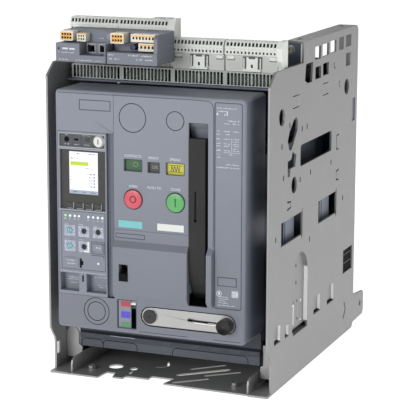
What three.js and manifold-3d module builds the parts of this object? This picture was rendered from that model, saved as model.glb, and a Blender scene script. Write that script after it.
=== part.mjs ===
// A three-pole withdrawable air circuit breaker, standing connected in its guide frame.
// Millimetres; +X to the viewer's right, +Y into the switchboard, +Z up.
// Lengths along Y are counted from the front edge of the guide frame's side plates,
// and the whole assembly is moved back at the end, to stand over the middle of its own footprint.
import * as THREE from 'three';
import { mergeVertices } from 'three/addons/utils/BufferGeometryUtils.js';
import Module from 'manifold-3d';

const wasm = await Module();
wasm.setup();

// ---- driving dimensions ----------------------------------------------------------------
const GAP = 0.3;                 // air left between pieces that touch
const HALF_WIDTH = 160;          // guide frame, over the side plates
const SHEET = 3;                 // side plate steel
const INNER = HALF_WIDTH - SHEET;
const FLANGE = 28;               // bent-in edges of the side plates
const PLATE_DEPTH = 387;
const FRONT_TOP = 432;           // side plate height at the front
const REAR_TOP = 460;            // and behind the step
const STEP = 134;                // where the side plate steps up
const TRAY_SHEET = 2.5;
const TRAY_HALF = HALF_WIDTH - FLANGE - 1;
const REAR_REACH = 441;          // rear end of the fixing tabs and of the main terminals
const FRONT_REACH = -35;         // front of the crank's grip

const COVER_HALF = 135.4;        // the breaker's front cover
const COVER_FRONT = -22;
const COVER_BACK = 52;
const COVER_LOW = 75.7;
const COVER_TOP = 401.2;
const WALL = 3;                  // moulded wall thickness
const APRON_FRONT = -29;         // raised lower part of the operator panel
const APRON_X = [-50, 91];

const POLES = [-90, 0, 90];      // pole centres
const UPPER = 300;               // height of the upper main terminals
const LOWER = 170;               // height of the lower main terminals
const BAR = 10;                  // copper bar thickness
const BAR_HALF = 30;             // copper bar half width
const HOUSING_FRONT = 190;       // pole housing
const HOUSING_BACK = 306;
const HOUSING_TOP = 318;
const CHEEK = 134;               // outside of the housing's side walls
const SHAFT = { y: 165, z: 230, r: 9 };
const CONTACT_PIVOT = { y: 236, z: 190 };
const RACKING_SCREW = { x: -34.5, z: 166 };

const BLOCK_PITCH = 75;          // auxiliary terminal blocks
const BLOCK_FLOOR = 425.5;
const COMB_LOW = 406;

// ---- finishes --------------------------------------------------------------------------
const FINISHES = {
  galvanised_steel: { color: 0x9b9b9b, metalness: 0.85, roughness: 0.45 },
  bright_steel: { color: 0xd4d4d0, metalness: 0.9, roughness: 0.3 },
  copper: { color: 0xc8c6bf, metalness: 0.9, roughness: 0.35 },
  cover_grey: { color: 0x8b909c, metalness: 0, roughness: 0.5 },
  dark_grey: { color: 0x4b505c, metalness: 0, roughness: 0.55 },
  black: { color: 0x262626, metalness: 0, roughness: 0.5 },
  light_grey: { color: 0xc8ccc6, metalness: 0, roughness: 0.55 },
  housing: { color: 0x3a3d44, metalness: 0, roughness: 0.6 },
  red: { color: 0xd8525c, metalness: 0, roughness: 0.4 },
  green: { color: 0x5fb368, metalness: 0, roughness: 0.4 },
  yellow: { color: 0xd8cc4a, metalness: 0, roughness: 0.5 },
  white: { color: 0xe6e6e2, metalness: 0, roughness: 0.5 },
  teal: { color: 0x8fd0d0, metalness: 0, roughness: 0.4 },
};

// ---- outlines, as lists of [a, b] points -----------------------------------------------
function arc(a, b, radius, from, to, steps) {
  return Array.from({ length: steps + 1 }, (_, i) => {
    const angle = from + ((to - from) * i) / steps;
    return [a + radius * Math.cos(angle), b + radius * Math.sin(angle)];
  });
}

const HALF_TURN = Math.PI;
const QUARTER = Math.PI / 2;

const rect = (a0, a1, b0, b1) => [[a0, b0], [a1, b0], [a1, b1], [a0, b1]];

const circle = (a, b, radius, steps = 16) => arc(a, b, radius, 0, 2 * HALF_TURN, steps).slice(0, -1);

const roundRect = (a0, a1, b0, b1, r, steps = 3) => [
  ...arc(a1 - r, b0 + r, r, -QUARTER, 0, steps),
  ...arc(a1 - r, b1 - r, r, 0, QUARTER, steps),
  ...arc(a0 + r, b1 - r, r, QUARTER, HALF_TURN, steps),
  ...arc(a0 + r, b0 + r, r, HALF_TURN, HALF_TURN + QUARTER, steps),
];

function stadium(a0, b0, a1, b1, r, steps = 4) {
  const along = Math.atan2(b1 - b0, a1 - a0);
  return [
    ...arc(a1, b1, r, along - QUARTER, along + QUARTER, steps),
    ...arc(a0, b0, r, along + QUARTER, along + QUARTER + HALF_TURN, steps),
  ];
}

// A band of constant width along a broken line, such as a lanced slit.
function band(points, width) {
  const normals = points.map((_, i) => {
    const [a0, b0] = points[Math.max(i - 1, 0)];
    const [a1, b1] = points[Math.min(i + 1, points.length - 1)];
    const length = Math.hypot(a1 - a0, b1 - b0);
    return [(b0 - b1) / length, (a1 - a0) / length];
  });
  const offset = (i, side) => [
    points[i][0] + (side * width * normals[i][0]) / 2,
    points[i][1] + (side * width * normals[i][1]) / 2,
  ];
  const order = points.map((_, i) => i);
  return [...order.map((i) => offset(i, -1)), ...order.reverse().map((i) => offset(i, 1))];
}

// ---- solids ----------------------------------------------------------------------------
function solid(geometry) {
  const bare = new THREE.BufferGeometry();
  bare.setAttribute('position', geometry.getAttribute('position'));
  if (geometry.index) bare.setIndex(geometry.index);
  const merged = mergeVertices(bare, 1e-4);
  return new wasm.Manifold(new wasm.Mesh({
    numProp: 3,
    vertProperties: merged.getAttribute('position').array,
    triVerts: merged.index.array,
  }));
}

// Where an outline's two directions and its thickness point, for each axis it is extruded along.
const along = (...axes) => new THREE.Matrix4().makeBasis(...axes.map((axis) => new THREE.Vector3(...axis)));
const DIRECTIONS = {
  x: along([0, 1, 0], [0, 0, 1], [1, 0, 0]),   // outline in (y, z)
  y: along([1, 0, 0], [0, 0, 1], [0, -1, 0]),  // outline in (x, z)
  z: along([1, 0, 0], [0, 1, 0], [0, 0, 1]),   // outline in (x, y)
};

// Outline points in the order that the extrusion needs, whichever way round they were given.
function vectors(points) {
  const list = points.map(([a, b]) => new THREE.Vector2(a, b));
  return THREE.ShapeUtils.isClockWise(list) ? list.reverse() : list;
}

function prism(axis, outline, from, to, holes = [], bevel = 0) {
  const [low, high] = [Math.min(from, to), Math.max(from, to)];
  const geometry = new THREE.ExtrudeGeometry(new THREE.Shape(vectors(outline)), {
    depth: high - low - 2 * bevel,
    bevelEnabled: bevel > 0,
    bevelThickness: bevel,
    bevelSize: bevel,
    bevelOffset: -bevel,
    bevelSegments: 2,
  });
  geometry.translate(0, 0, bevel + (axis === 'y' ? -high : low));
  const punches = holes.map((hole) => prism(axis, hole, low - 1, high + 1));
  return cut(solid(geometry.applyMatrix4(DIRECTIONS[axis])), ...punches);
}

function box(x0, x1, y0, y1, z0, z1) {
  const geometry = new THREE.BoxGeometry(Math.abs(x1 - x0), Math.abs(y1 - y0), Math.abs(z1 - z0));
  return solid(geometry.translate((x0 + x1) / 2, (y0 + y1) / 2, (z0 + z1) / 2));
}

const rod = (axis, a, b, radius, from, to, steps) => prism(axis, circle(a, b, radius, steps), from, to);
const join = (first, ...rest) => rest.reduce((whole, piece) => whole.add(piece), first);
const cut = (body, ...tools) => tools.reduce((rest, tool) => rest.subtract(tool), body);

const guideFrame = new THREE.Group();
const breaker = new THREE.Group();

function add(group, name, body, finish) {
  const { vertProperties, triVerts } = body.getMesh();
  const geometry = new THREE.BufferGeometry();
  geometry.setAttribute('position', new THREE.BufferAttribute(vertProperties, 3));
  geometry.setIndex(new THREE.BufferAttribute(triVerts, 1));
  geometry.computeVertexNormals();
  const material = new THREE.MeshStandardMaterial({ ...FINISHES[finish], flatShading: true });
  const mesh = new THREE.Mesh(geometry, material);
  mesh.name = name;
  group.add(mesh);
}

// ---- guide frame: side plates ----------------------------------------------------------
// Steel plates with many punched windows, a stepped top, bent-in edges and a rear fixing tab.
const WEB_OUTLINE = [
  [15, 0], [PLATE_DEPTH - 6, 0], [PLATE_DEPTH, 7], [REAR_REACH - 4, 8], [REAR_REACH, 13],
  [REAR_REACH, 41], [REAR_REACH - 5, 45], [PLATE_DEPTH + 1, 50], [PLATE_DEPTH, 56],
  [PLATE_DEPTH, REAR_TOP - 6], [PLATE_DEPTH - 6, REAR_TOP], [STEP, REAR_TOP], [STEP, FRONT_TOP],
  [22, FRONT_TOP], [0, 415], [0, 66], [5, 58], [13, 48], [15, 42],
];

const TALL_WINDOWS = [
  [183, 208, 430, 448], [216, 244, 431, 448], [252, 279, 432, 449], [292, 315, 432, 450],
  [325, 352, 433, 450], [327, 349, 405, 424], [185, 210, 403, 420], [219, 245, 404, 421],
].map((window) => rect(...window));

const SIDE_WINDOWS = [
  roundRect(125, 264, 292, 321, 3, 1),
  [[208, 196], [287, 196], [290, 190], [293, 196], [293, 228], [291, 234], [288, 228], [208, 228]],
  [[49, 196], [132, 196], [135, 190], [138, 196], [138, 228], [136, 234], [133, 228], [49, 228]],
  rect(331, 376, 95, 130),
  rect(362, 377, 320, 354),
];

const ROUND_HOLES = [
  circle(333, 375, 11.5, 14), circle(47, 370, 11.5, 14), circle(100, 271, 11.5, 14), circle(423, 28, 4.5, 8),
];

const CAM_CUTOUTS = [
  [[106, 363], [112, 357], [111, 345], [92, 325], [85, 320], [77, 323], [71, 335], [78, 346], [94, 359]],
  [[92, 318], [108, 311], [103, 296], [84, 296], [81, 286], [73, 286], [72, 307], [86, 308]],
  [[140, 407], [152, 402], [171, 402], [174, 429], [144, 429]],
];

const SMALL_SLOTS = [
  [48, 331], [56, 288], [125, 274], [131, 343], [152, 343], [79, 355],
  [170, 277], [263, 275], [323, 212], [27, 210], [170, 182],
].map(([y, z]) => rect(y - 2, y + 2, z - 3.5, z + 3.5));

const SLITS = [
  band([[221, 376.5], [247, 376.5], [247, 392.5], [221, 392.5]], 1.4),
  band([[91, 375.5], [117, 375.5], [117, 391.5], [91, 391.5]], 1.4),
  band([[299, 288.5], [288, 290], [288, 309], [299, 310.5]], 2.4),
  band([[301, 243.5], [289, 245], [289, 257], [301, 258.5]], 2.4),
  band([[72, 241.5], [87, 243], [87, 250.5], [72, 252]], 2.4),
  band([[276, 408], [269, 412], [273, 417]], 2.2),
  band([[299, 379], [294, 384], [299, 388]], 2.2),
  band([[340, 49], [347, 37], [336, 25]], 4),
];

// Pressed-in strips: each is [from, to] along Y, [from, to] along Z, and how deep it is.
const BRIDGES = [
  { y: [25, 50], z: [66, 90], depth: 4 },
  { y: [69, 84], z: [65, 82], depth: 4 },
  { y: [193, 222], z: [67, 92], depth: 4 },
  { y: [255, 286], z: [66, 93], depth: 4 },
];
const DISH = { y: [99, 164], z: [64, 172], depth: 6 };
const DISH_SHEET = 2;

function sidePlate(side, extraHoles = []) {
  const at = (distance) => side * distance;
  const web = prism('x', WEB_OUTLINE, at(INNER), at(HALF_WIDTH), [
    ...TALL_WINDOWS, ...SIDE_WINDOWS, ...ROUND_HOLES, ...CAM_CUTOUTS, ...SMALL_SLOTS, ...SLITS, ...extraHoles,
  ]);
  const topFlange = prism('z', [
    [at(INNER), STEP], [at(INNER), PLATE_DEPTH - 6], [at(HALF_WIDTH - FLANGE), PLATE_DEPTH - 6],
    [at(HALF_WIDTH - FLANGE), STEP + 15],
  ], REAR_TOP - SHEET, REAR_TOP, [
    rect(at(140), at(146), 162, 178), rect(at(140), at(146), 352, 368),
  ]);
  const rearFlange = box(at(HALF_WIDTH - FLANGE - 2), at(INNER + 1), PLATE_DEPTH - SHEET, PLATE_DEPTH,
    56, REAR_TOP - 8);
  const fixingHoles = [60, 330].map((y) => circle(at(145), y, 4.5, 10));
  const bottomFlange = prism('z', rect(at(HALF_WIDTH - FLANGE), at(HALF_WIDTH), 0, PLATE_DEPTH - 8),
    0, SHEET, fixingHoles);

  const [y0, y1] = DISH.y;
  const [z0, z1] = DISH.z;
  const radius = (y1 - y0) / 2;
  const dishOutline = (spread) => [
    [y0 - spread, z0], [y1 + spread, z0],
    ...arc((y0 + y1) / 2, z1 - radius, radius + spread, 0, HALF_TURN, 8),
  ];
  const floor = HALF_WIDTH - DISH.depth;
  const floorHoles = [
    ...[[114, 156], [107, 143], [115, 132], [107, 120]].map(([y, z]) => rect(y - 2, y + 2, z - 3, z + 3)),
    ...[[136, 101], [137, 76], [107, 101], [108, 76]].map(([y, z]) => circle(y, z, 2, 6)),
    rect(119, 121, 74, 104),
  ];
  const dish = cut(
    prism('x', dishOutline(DISH_SHEET), at(floor - DISH_SHEET), at(INNER + 1)),
    prism('x', dishOutline(0), at(floor), at(HALF_WIDTH + 1)),
    ...floorHoles.map((hole) => prism('x', hole, at(floor - 5), at(floor + 1))),
    box(at(floor), at(INNER + 2), y0, y1, z0 - 4, z0 + 4),
  );
  const dishMouth = prism('x', dishOutline(0), at(INNER - 1), at(HALF_WIDTH + 1));
  const mouthSlot = box(at(INNER - 1), at(HALF_WIDTH + 1), y0 + 4, y1, z0 - 5, z0 + 1);

  const bridges = BRIDGES.map(({ y, z, depth }) => cut(
    box(at(HALF_WIDTH - depth - DISH_SHEET), at(INNER + 1), y[0] - DISH_SHEET, y[1] + DISH_SHEET,
      z[0] + 3, z[1] - 3),
    box(at(HALF_WIDTH - depth), at(HALF_WIDTH + 1), y[0], y[1], z[0], z[1]),
  ));
  const bridgeMouths = BRIDGES.map(({ y, z }) => box(at(INNER - 1), at(HALF_WIDTH + 1), ...y, ...z));

  return join(
    cut(join(web, bottomFlange, topFlange, rearFlange), dishMouth, mouthSlot, ...bridgeMouths),
    dish,
    ...bridges,
  );
}

add(guideFrame, 'side_plate_right', sidePlate(1), 'galvanised_steel');
add(guideFrame, 'side_plate_left', sidePlate(-1, [rect(18, 26, 22, 40)]), 'galvanised_steel');

// ---- guide frame: base tray ------------------------------------------------------------
const TRAY_BACK = PLATE_DEPTH - 8;
const TRAY_LIP = 22;
const TRAY_OUTLINE = [
  [-TRAY_HALF, 0], [-88, 0], [-86, 26], [-72, 26], [-69, 8], [-54, 8], [-54, 18], [-20, 18], [-20, 30],
  [14, 30], [8, 6], [TRAY_HALF, 2], [TRAY_HALF, TRAY_BACK], [-TRAY_HALF, TRAY_BACK],
];
const TRAY_SLOTS = [
  stadium(20, 14, 56, 45, 3), stadium(13, 49, 67, 97, 4), stadium(49, 59, 86, 90, 3),
  stadium(20, 81, 55, 114, 3),
];
const trayHoles = [
  circle(-84, 54, 10.5), circle(-56, 52, 6, 12), band([[-52, 27], [-54, 44]], 3),
  band([[-31, 70], [-21, 73], [-17, 84], [-24, 101]], 3), ...TRAY_SLOTS, rect(-60, 60, 220, 300),
];
const trayLip = (side) => prism('x',
  [[6, 0], [TRAY_BACK, 0], [TRAY_BACK, TRAY_LIP], [14, TRAY_LIP], [8, TRAY_LIP - 3], [6, TRAY_LIP - 9]],
  side * TRAY_HALF, side * (TRAY_HALF - TRAY_SHEET));
add(guideFrame, 'base_tray', join(
  prism('z', TRAY_OUTLINE, 0, TRAY_SHEET, trayHoles), trayLip(1), trayLip(-1),
), 'galvanised_steel');

// ---- guide frame: rear wall, main terminals and shutters --------------------------------
const WALL_FRONT = 352;
const WALL_BACK = PLATE_DEPTH - SHEET - GAP;
const WALL_TOP = 366;
const barSlots = POLES.flatMap((x) => [UPPER, LOWER].map((z) => rect(
  x - BAR_HALF - GAP, x + BAR_HALF + GAP, z - BAR / 2 - GAP, z + BAR / 2 + GAP,
)));
const wallPockets = POLES.map((x) => box(x - 22, x + 22, WALL_FRONT + 4, PLATE_DEPTH, 212, 256));
const cornerReliefs = [1, -1].map((side) => box(side * 140, side * HALF_WIDTH, 340, PLATE_DEPTH, 60, 142));
add(guideFrame, 'rear_wall', cut(
  prism('y', rect(-INNER + GAP, INNER - GAP, 62, WALL_TOP), WALL_FRONT, WALL_BACK, barSlots),
  ...wallPockets, ...cornerReliefs,
), 'dark_grey');

function mainTerminal(x, z) {
  const holes = [-14, 14].map((offset) => circle(x + offset, REAR_REACH - 17, 5.5, 12));
  return join(
    prism('z', rect(x - BAR_HALF, x + BAR_HALF, 320, REAR_REACH - 1), z - BAR / 2, z + BAR / 2, holes),
    box(x - BAR_HALF - 6, x + BAR_HALF + 6, WALL_BACK + GAP, WALL_BACK + 6, z - 18, z + 18),
  );
}

POLES.forEach((x, i) => {
  add(guideFrame, `upper_main_terminal_${i + 1}`, mainTerminal(x, UPPER), 'copper');
  add(guideFrame, `lower_main_terminal_${i + 1}`, mainTerminal(x, LOWER), 'copper');
});

const SHUTTER = { half: 128, front: 314, back: 317, height: 56 };
function shutter(low) {
  const { half, front, back, height } = SHUTTER;
  const plate = box(-half, half, front, back, low, low + height);
  const ribs = [-90, 90].map((x) => box(x - 3, x + 3, front - 3, front + 1, low, low + height));
  return join(plate, ...ribs);
}
add(guideFrame, 'shutter_upper', shutter(UPPER + 46), 'light_grey');
add(guideFrame, 'shutter_lower', shutter(LOWER - 46 - SHUTTER.height), 'light_grey');

// ---- guide frame: telescopic rails ------------------------------------------------------
const RAIL = { inner: 136, outer: 156, back: 378, low: 25, high: 58 };
function rail(side) {
  const at = (distance) => side * distance;
  const channel = cut(
    box(at(RAIL.inner), at(RAIL.outer), 49, RAIL.back, RAIL.low, RAIL.high),
    box(at(RAIL.inner - 1), at(RAIL.outer - 3), 60, RAIL.back + 1, RAIL.low + 3, RAIL.high - 3),
  );
  const tabOutline = [
    [at(133), 12], [at(133), 28], [at(138), 31], [at(138), 48], [at(141), 53], [at(145), 55],
    [at(150), 55], [at(154), 53], [at(INNER - GAP), 48], [at(INNER - GAP), 12],
  ];
  return join(channel, prism('y', tabOutline, 47, 50));
}
add(guideFrame, 'rail_right', rail(1), 'galvanised_steel');
add(guideFrame, 'rail_left', rail(-1), 'galvanised_steel');

// ---- guide frame: cross rail, contact comb, terminal blocks, modules ---------------------
const CROSS_LOW = 403;
const CROSS_BACK = 152;
add(guideFrame, 'top_cross_rail', join(
  box(-INNER + GAP, INNER - GAP, 54, 147, CROSS_LOW, COMB_LOW - GAP),
  box(-CROSS_BACK, CROSS_BACK, 146, CROSS_BACK, CROSS_LOW, REAR_TOP - SHEET - GAP),
  box(-INNER + GAP, -149, 112, 147, CROSS_LOW + 1, 430),
  box(149, INNER - GAP, 100, 147, CROSS_LOW + 1, 430),
), 'dark_grey');

const COMB = { half: 150, front: 60, back: 99, high: BLOCK_FLOOR - GAP };
const combMouths = [-1.5, -0.5, 0.5, 1.5].flatMap((i) => [[-34, -1.5], [1.5, 34]].map(([x0, x1]) => box(
  i * BLOCK_PITCH + x0, i * BLOCK_PITCH + x1, COMB.front - 1, COMB.front + 14, COMB_LOW + 3, COMB.high - 4,
)));
add(guideFrame, 'contact_comb', cut(
  box(-COMB.half, COMB.half, COMB.front, COMB.back, COMB_LOW, COMB.high), ...combMouths,
), 'light_grey');

const BLOCK_DEPTH = 20;
// A block's side view: a flat foot, and a head that leans back over two rows of wire entries.
function terminalBlock(x0, x1, setBack, lift, capTo) {
  const front = COMB.front + setBack;
  const back = front + BLOCK_DEPTH;
  const head = BLOCK_FLOOR + lift + 22;
  const profile = [
    [front + 2, BLOCK_FLOOR], [back, BLOCK_FLOOR], [back, head + 18.5], [front + 4, head + 18.5],
    [front - 1.5, head + 10], [front - 1.5, head], [front + 2, head - 1],
  ];
  const block = prism('x', profile, x0, x1);
  if (!capTo) return block;
  const cap = [
    [front + 4, BLOCK_FLOOR], [back, BLOCK_FLOOR], [back, head + 20], [front + 3, head + 20],
    [front - 3, head + 11], [front - 3, head - 6], [front + 4, head - 16],
  ];
  return join(block, prism('x', cap, x1 - 1, capTo));
}
add(guideFrame, 'terminal_block_1', terminalBlock(-156.6, -84.2, 12, 22), 'light_grey');
add(guideFrame, 'terminal_block_2', terminalBlock(-83.8, -11, 12, 22, -1), 'light_grey');
add(guideFrame, 'terminal_block_3', terminalBlock(0, 72.6, 0, 0), 'light_grey');
add(guideFrame, 'terminal_block_4', terminalBlock(75, 148, 0, 0, 156), 'light_grey');

const MODULE = { low: 435, shelf: 460, high: 475, face: 24, foot: 58, back: 68.5 };
const SOCKETS = [-101, -83];
add(guideFrame, 'communication_module_left', cut(
  join(
    box(-144, -71, 0, MODULE.foot, MODULE.low, MODULE.shelf),
    box(-144, -71, MODULE.face, MODULE.back, MODULE.low + 1, MODULE.high),
  ),
  box(-109, -73, -1, 20, 444.5, MODULE.shelf + 1),
  ...SOCKETS.map((x) => box(x - 5.5, x + 5.5, 19, 33, 447, 457)),
), 'cover_grey');
add(guideFrame, 'communication_module_right', join(
  box(-69.5, 3, 0, MODULE.foot, MODULE.low, 450.5),
  box(-69.5, -1.5, MODULE.face, MODULE.back, MODULE.low + 1, MODULE.high),
  prism('x', [
    [1, MODULE.low + 1], [MODULE.foot, MODULE.low + 1], [MODULE.foot, MODULE.high], [6, MODULE.high],
    [1, MODULE.high - 5],
  ], -2.5, 3),
), 'cover_grey');

// ---- breaker: front cover ----------------------------------------------------------------
const TRIP = { x0: -132.2, x1: -61, z0: 122.5, z1: 345.5, wide: -51 };
const BUTTON = { z: 260, open: -22.5, close: 38, r: 13.3 };
const WINDOWS = { contacts: [-35, -10, 298, 313], ready: [-1, 15, 298, 311], spring: [25, 50, 297, 312] };
const HANDLE = { x0: 57, x1: 80.4, top: 347, bottom: 128 };
const HANDLE_HEEL = { y: 10, z: 138, r: 10 };
const HANDLE_PIN = { y: -3, z: 145, r: 3 };
const HANDLE_SLOT = [56.5, 83.5, 123, 367];
const CRANK = { left: 1, right: 110, z: 102.5, r: 12.4, floor: -14 };
const POINTER_SLOT = [-27, -19, 83, 121];
const GATE_SLOT = [-41, -28, 149, 172];

const through = (outline) => prism('y', outline, APRON_FRONT - 1, COVER_FRONT + 8);
const engrave = (outline, depth) => prism('y', outline, COVER_FRONT - 1, COVER_FRONT + depth);
function ringGroove(x, z, radius, depth = 0.6, width = 0.8) {
  return prism('y', circle(x, z, radius, 28), COVER_FRONT - 1, COVER_FRONT + depth,
    [circle(x, z, radius - width, 28)]);
}
function frameGroove(x0, x1, z0, z1, front = COVER_FRONT, width = 0.8, depth = 0.6) {
  return prism('y', rect(x0, x1, z0, z1), front - 1, front + depth,
    [rect(x0 + width, x1 - width, z0 + width, z1 - width)]);
}

const coverOuter = cut(
  prism('y', roundRect(-COVER_HALF, COVER_HALF, COVER_LOW, COVER_TOP, 5),
    COVER_FRONT, COVER_BACK + 10, [], 3),
  box(-200, 200, COVER_BACK, COVER_BACK + 20, 0, 500),
);
const coverHollow = box(
  -COVER_HALF + WALL, COVER_HALF - WALL, COVER_FRONT + WALL, COVER_BACK + 1,
  COVER_LOW + WALL, COVER_TOP - WALL,
);
const apron = prism('x', [
  [COVER_FRONT + 1, 206], [COVER_FRONT, 203], [APRON_FRONT, 195], [APRON_FRONT, 131], [COVER_FRONT, 122],
  [COVER_FRONT + 1, 120],
], ...APRON_X);
const crankPocket = prism('y', stadium(CRANK.left, CRANK.z, CRANK.right, CRANK.z, CRANK.r + 3.4, 8),
  COVER_FRONT + 1, CRANK.floor + 4);
const hingeEars = [[53, HANDLE_SLOT[0]], [HANDLE_SLOT[1], 87]].map(([x0, x1]) => prism('x',
  roundRect(COVER_FRONT + 1, HANDLE_PIN.y + 7, HANDLE_PIN.z - 7, HANDLE_PIN.z + 7, 5, 2), x0, x1));
const fingerScoop = prism('x', [
  [-21, 372.5], [-18, 367], [-9, 358], [-4, 345], [2, 345], [2, 374], [-20, 374],
], HANDLE_SLOT[0] - 3, HANDLE_SLOT[1] + 3);
add(breaker, 'front_cover', cut(
  join(
    cut(
      join(cut(coverOuter, coverHollow), apron),
      through(rect(...HANDLE_SLOT)),
    ),
    crankPocket,
    fingerScoop,
    ...hingeEars,
  ),
  rod('x', HANDLE_PIN.y, HANDLE_PIN.z, HANDLE_PIN.r + GAP, 52, 88, 14),
  prism('y', stadium(CRANK.left, CRANK.z, CRANK.right, CRANK.z, CRANK.r + 0.8, 8),
    COVER_FRONT - 1, CRANK.floor),
  rod('y', CRANK.left, CRANK.z, 6.2, COVER_FRONT, 0),
  through(rect(TRIP.x0 - GAP, TRIP.wide + 0.5, TRIP.z0 - GAP, TRIP.z1 + GAP)),
  through(circle(BUTTON.open, BUTTON.z, BUTTON.r + GAP + 0.2, 24)),
  through(circle(BUTTON.close, BUTTON.z, BUTTON.r + GAP + 0.2, 24)),
  ...Object.values(WINDOWS).map((window) => through(rect(...window))),
  through(rect(...POINTER_SLOT)),
  through(rect(...GATE_SLOT)),
  engrave(rect(-46.5, -26.5, 83, 121), 1.5),
  engrave(roundRect(93, 130, 124, 395, 4), 0.6),
  ringGroove(-23, 368.5, 19.5),
  ringGroove(37.5, 368, 12.8),
  ringGroove(-77.5, 102, 19),
  ringGroove(-77.5, 102, 13.5),
  frameGroove(-100, -54.5, 375, 389),
  frameGroove(-48, -6, 206.5, 213),
  frameGroove(97, 123.5, 154, 166, COVER_FRONT + 0.6),
  engrave(rect(-50, 56, 217.5, 218.2), 0.6),
  engrave(rect(-50.4, -49.8, 346, 398), 0.6),
), 'cover_grey');

// ---- breaker: base, pole housing and current path ------------------------------------------
const PLINTH_PROFILE = [
  [42, 31], [42, 50], [47, 53], [47, COVER_LOW - GAP], [51, COVER_LOW - GAP], [51, 35], [300, 35], [300, 31],
];
add(breaker, 'base_plinth', join(
  prism('x', PLINTH_PROFILE, -CHEEK + 0.3, CHEEK - 0.3),
  box(-CHEEK, -CHEEK + 4, 50, 300, 32, 61.7),
  box(CHEEK - 4, CHEEK, 50, 300, 32, 61.7),
  box(-152, -CHEEK + 4, 80, 290, RAIL.high + GAP, 61.7),
  box(CHEEK - 4, 152, 80, 290, RAIL.high + GAP, 61.7),
), 'dark_grey');

const HOUSING_LOW = 62;
const poleBays = POLES.map((x) => box(x - 39, x + 39, HOUSING_FRONT + 10, HOUSING_BACK - 10,
  HOUSING_LOW + 18, HOUSING_TOP + 1));
const barPassages = POLES.flatMap((x) => [UPPER, LOWER].map((z) =>
  box(x - 24.4, x + 24.4, HOUSING_BACK - 20, HOUSING_BACK + 1, z - 6.4, z + 6.4)));
const leverSlots = POLES.map((x) => box(x - 8, x + 8, HOUSING_FRONT - 1, HOUSING_FRONT + 12, 202, 258));
const guidePads = [1, -1].flatMap((side) => [[88, 133], [245, 290]].map(([y0, y1]) =>
  box(side * (CHEEK - 1), side * 149, y0, y1, 184, 232)));
const cheeks = [1, -1].map((side) =>
  box(side * (CHEEK - 4), side * CHEEK, 54, HOUSING_FRONT + 2, HOUSING_LOW, HOUSING_TOP));
add(breaker, 'pole_housing', cut(
  join(
    box(-CHEEK, CHEEK, HOUSING_FRONT, HOUSING_BACK, HOUSING_LOW, HOUSING_TOP),
    box(-CHEEK + 1, CHEEK - 1, 148, 152, HOUSING_LOW, HOUSING_TOP),
    ...cheeks,
    ...guidePads,
  ),
  ...poleBays, ...barPassages, ...leverSlots,
  rod('x', SHAFT.y, SHAFT.z, SHAFT.r + 0.4, -150, 150, 20),
  rod('y', RACKING_SCREW.x, RACKING_SCREW.z, 5.6, 140, 160, 12),
), 'housing');

const CHUTE_TOP = 386;
POLES.forEach((x, i) => {
  const vents = Array.from({ length: 8 }, (_, n) => {
    const y = HOUSING_FRONT + 14 + n * 11;
    return box(x - 32, x + 32, y, y + 3.6, CHUTE_TOP - 12, CHUTE_TOP + 1);
  });
  add(breaker, `arc_chute_${i + 1}`, cut(
    box(x - 42, x + 42, HOUSING_FRONT + 6, HOUSING_BACK - 6, HOUSING_TOP + GAP, CHUTE_TOP), ...vents,
  ), 'housing');
});

// A stab: the copper bar in the pole, ending in a finger cluster that grips the frame's blade.
function stab(x, z, innerEnd) {
  return cut(
    join(
      box(x - 24, x + 24, innerEnd, HOUSING_BACK + 8, z - 6, z + 6),
      box(x - 29, x + 29, HOUSING_BACK + 6, 349, z - 17, z + 17),
    ),
    box(x - BAR_HALF - 1, x + BAR_HALF + 1, 318, 350, z - BAR / 2 - 0.4, z + BAR / 2 + 0.4),
  );
}

// A moving contact: a copper arm that stands open, leaning away from the upper stab.
function movingContact(x) {
  const { y, z } = CONTACT_PIVOT;
  return join(
    prism('x', [
      [y - 7, z], [y + 7, z], [y - 5, z + 112], [y - 9, z + 118], [y - 19, z + 118], [y - 21, z + 112],
    ], x - 18, x + 18),
    rod('x', y, z, 8, x - 20, x + 20, 16),
    prism('x', rect(y - 7, y + 1, z + 100, z + 116), x - 12, x + 12),
  );
}

POLES.forEach((x, i) => {
  add(breaker, `upper_stab_${i + 1}`, stab(x, UPPER, 278), 'copper');
  add(breaker, `lower_stab_${i + 1}`, stab(x, LOWER, 214), 'copper');
  add(breaker, `moving_contact_${i + 1}`, movingContact(x), 'copper');
});

const lever = (x) => prism('x', [
  [SHAFT.y - 4, SHAFT.z - 6], [SHAFT.y + 8, SHAFT.z - 10], [SHAFT.y + 35, SHAFT.z - 19],
  [SHAFT.y + 38, SHAFT.z - 12], [SHAFT.y + 8, SHAFT.z + 6], [SHAFT.y - 4, SHAFT.z + 6],
], x - 5, x + 5);
add(breaker, 'main_shaft', join(
  rod('x', SHAFT.y, SHAFT.z, SHAFT.r, -CHEEK, CHEEK, 20), ...POLES.map(lever),
), 'bright_steel');

add(breaker, 'charging_motor', join(
  rod('x', 112, 172, 24, 62, 122, 20), box(46, 64, 84, 147.5, 140, 204),
), 'black');

function coil(x, z) {
  return join(box(x - 16, x + 16, 118, 147.5, z, z + 38), rod('z', x, 133, 4, z - 12, z + 1, 10));
}
add(breaker, 'closing_coil', coil(26, 262), 'black');
add(breaker, 'opening_coil', coil(-26, 262), 'black');

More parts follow.
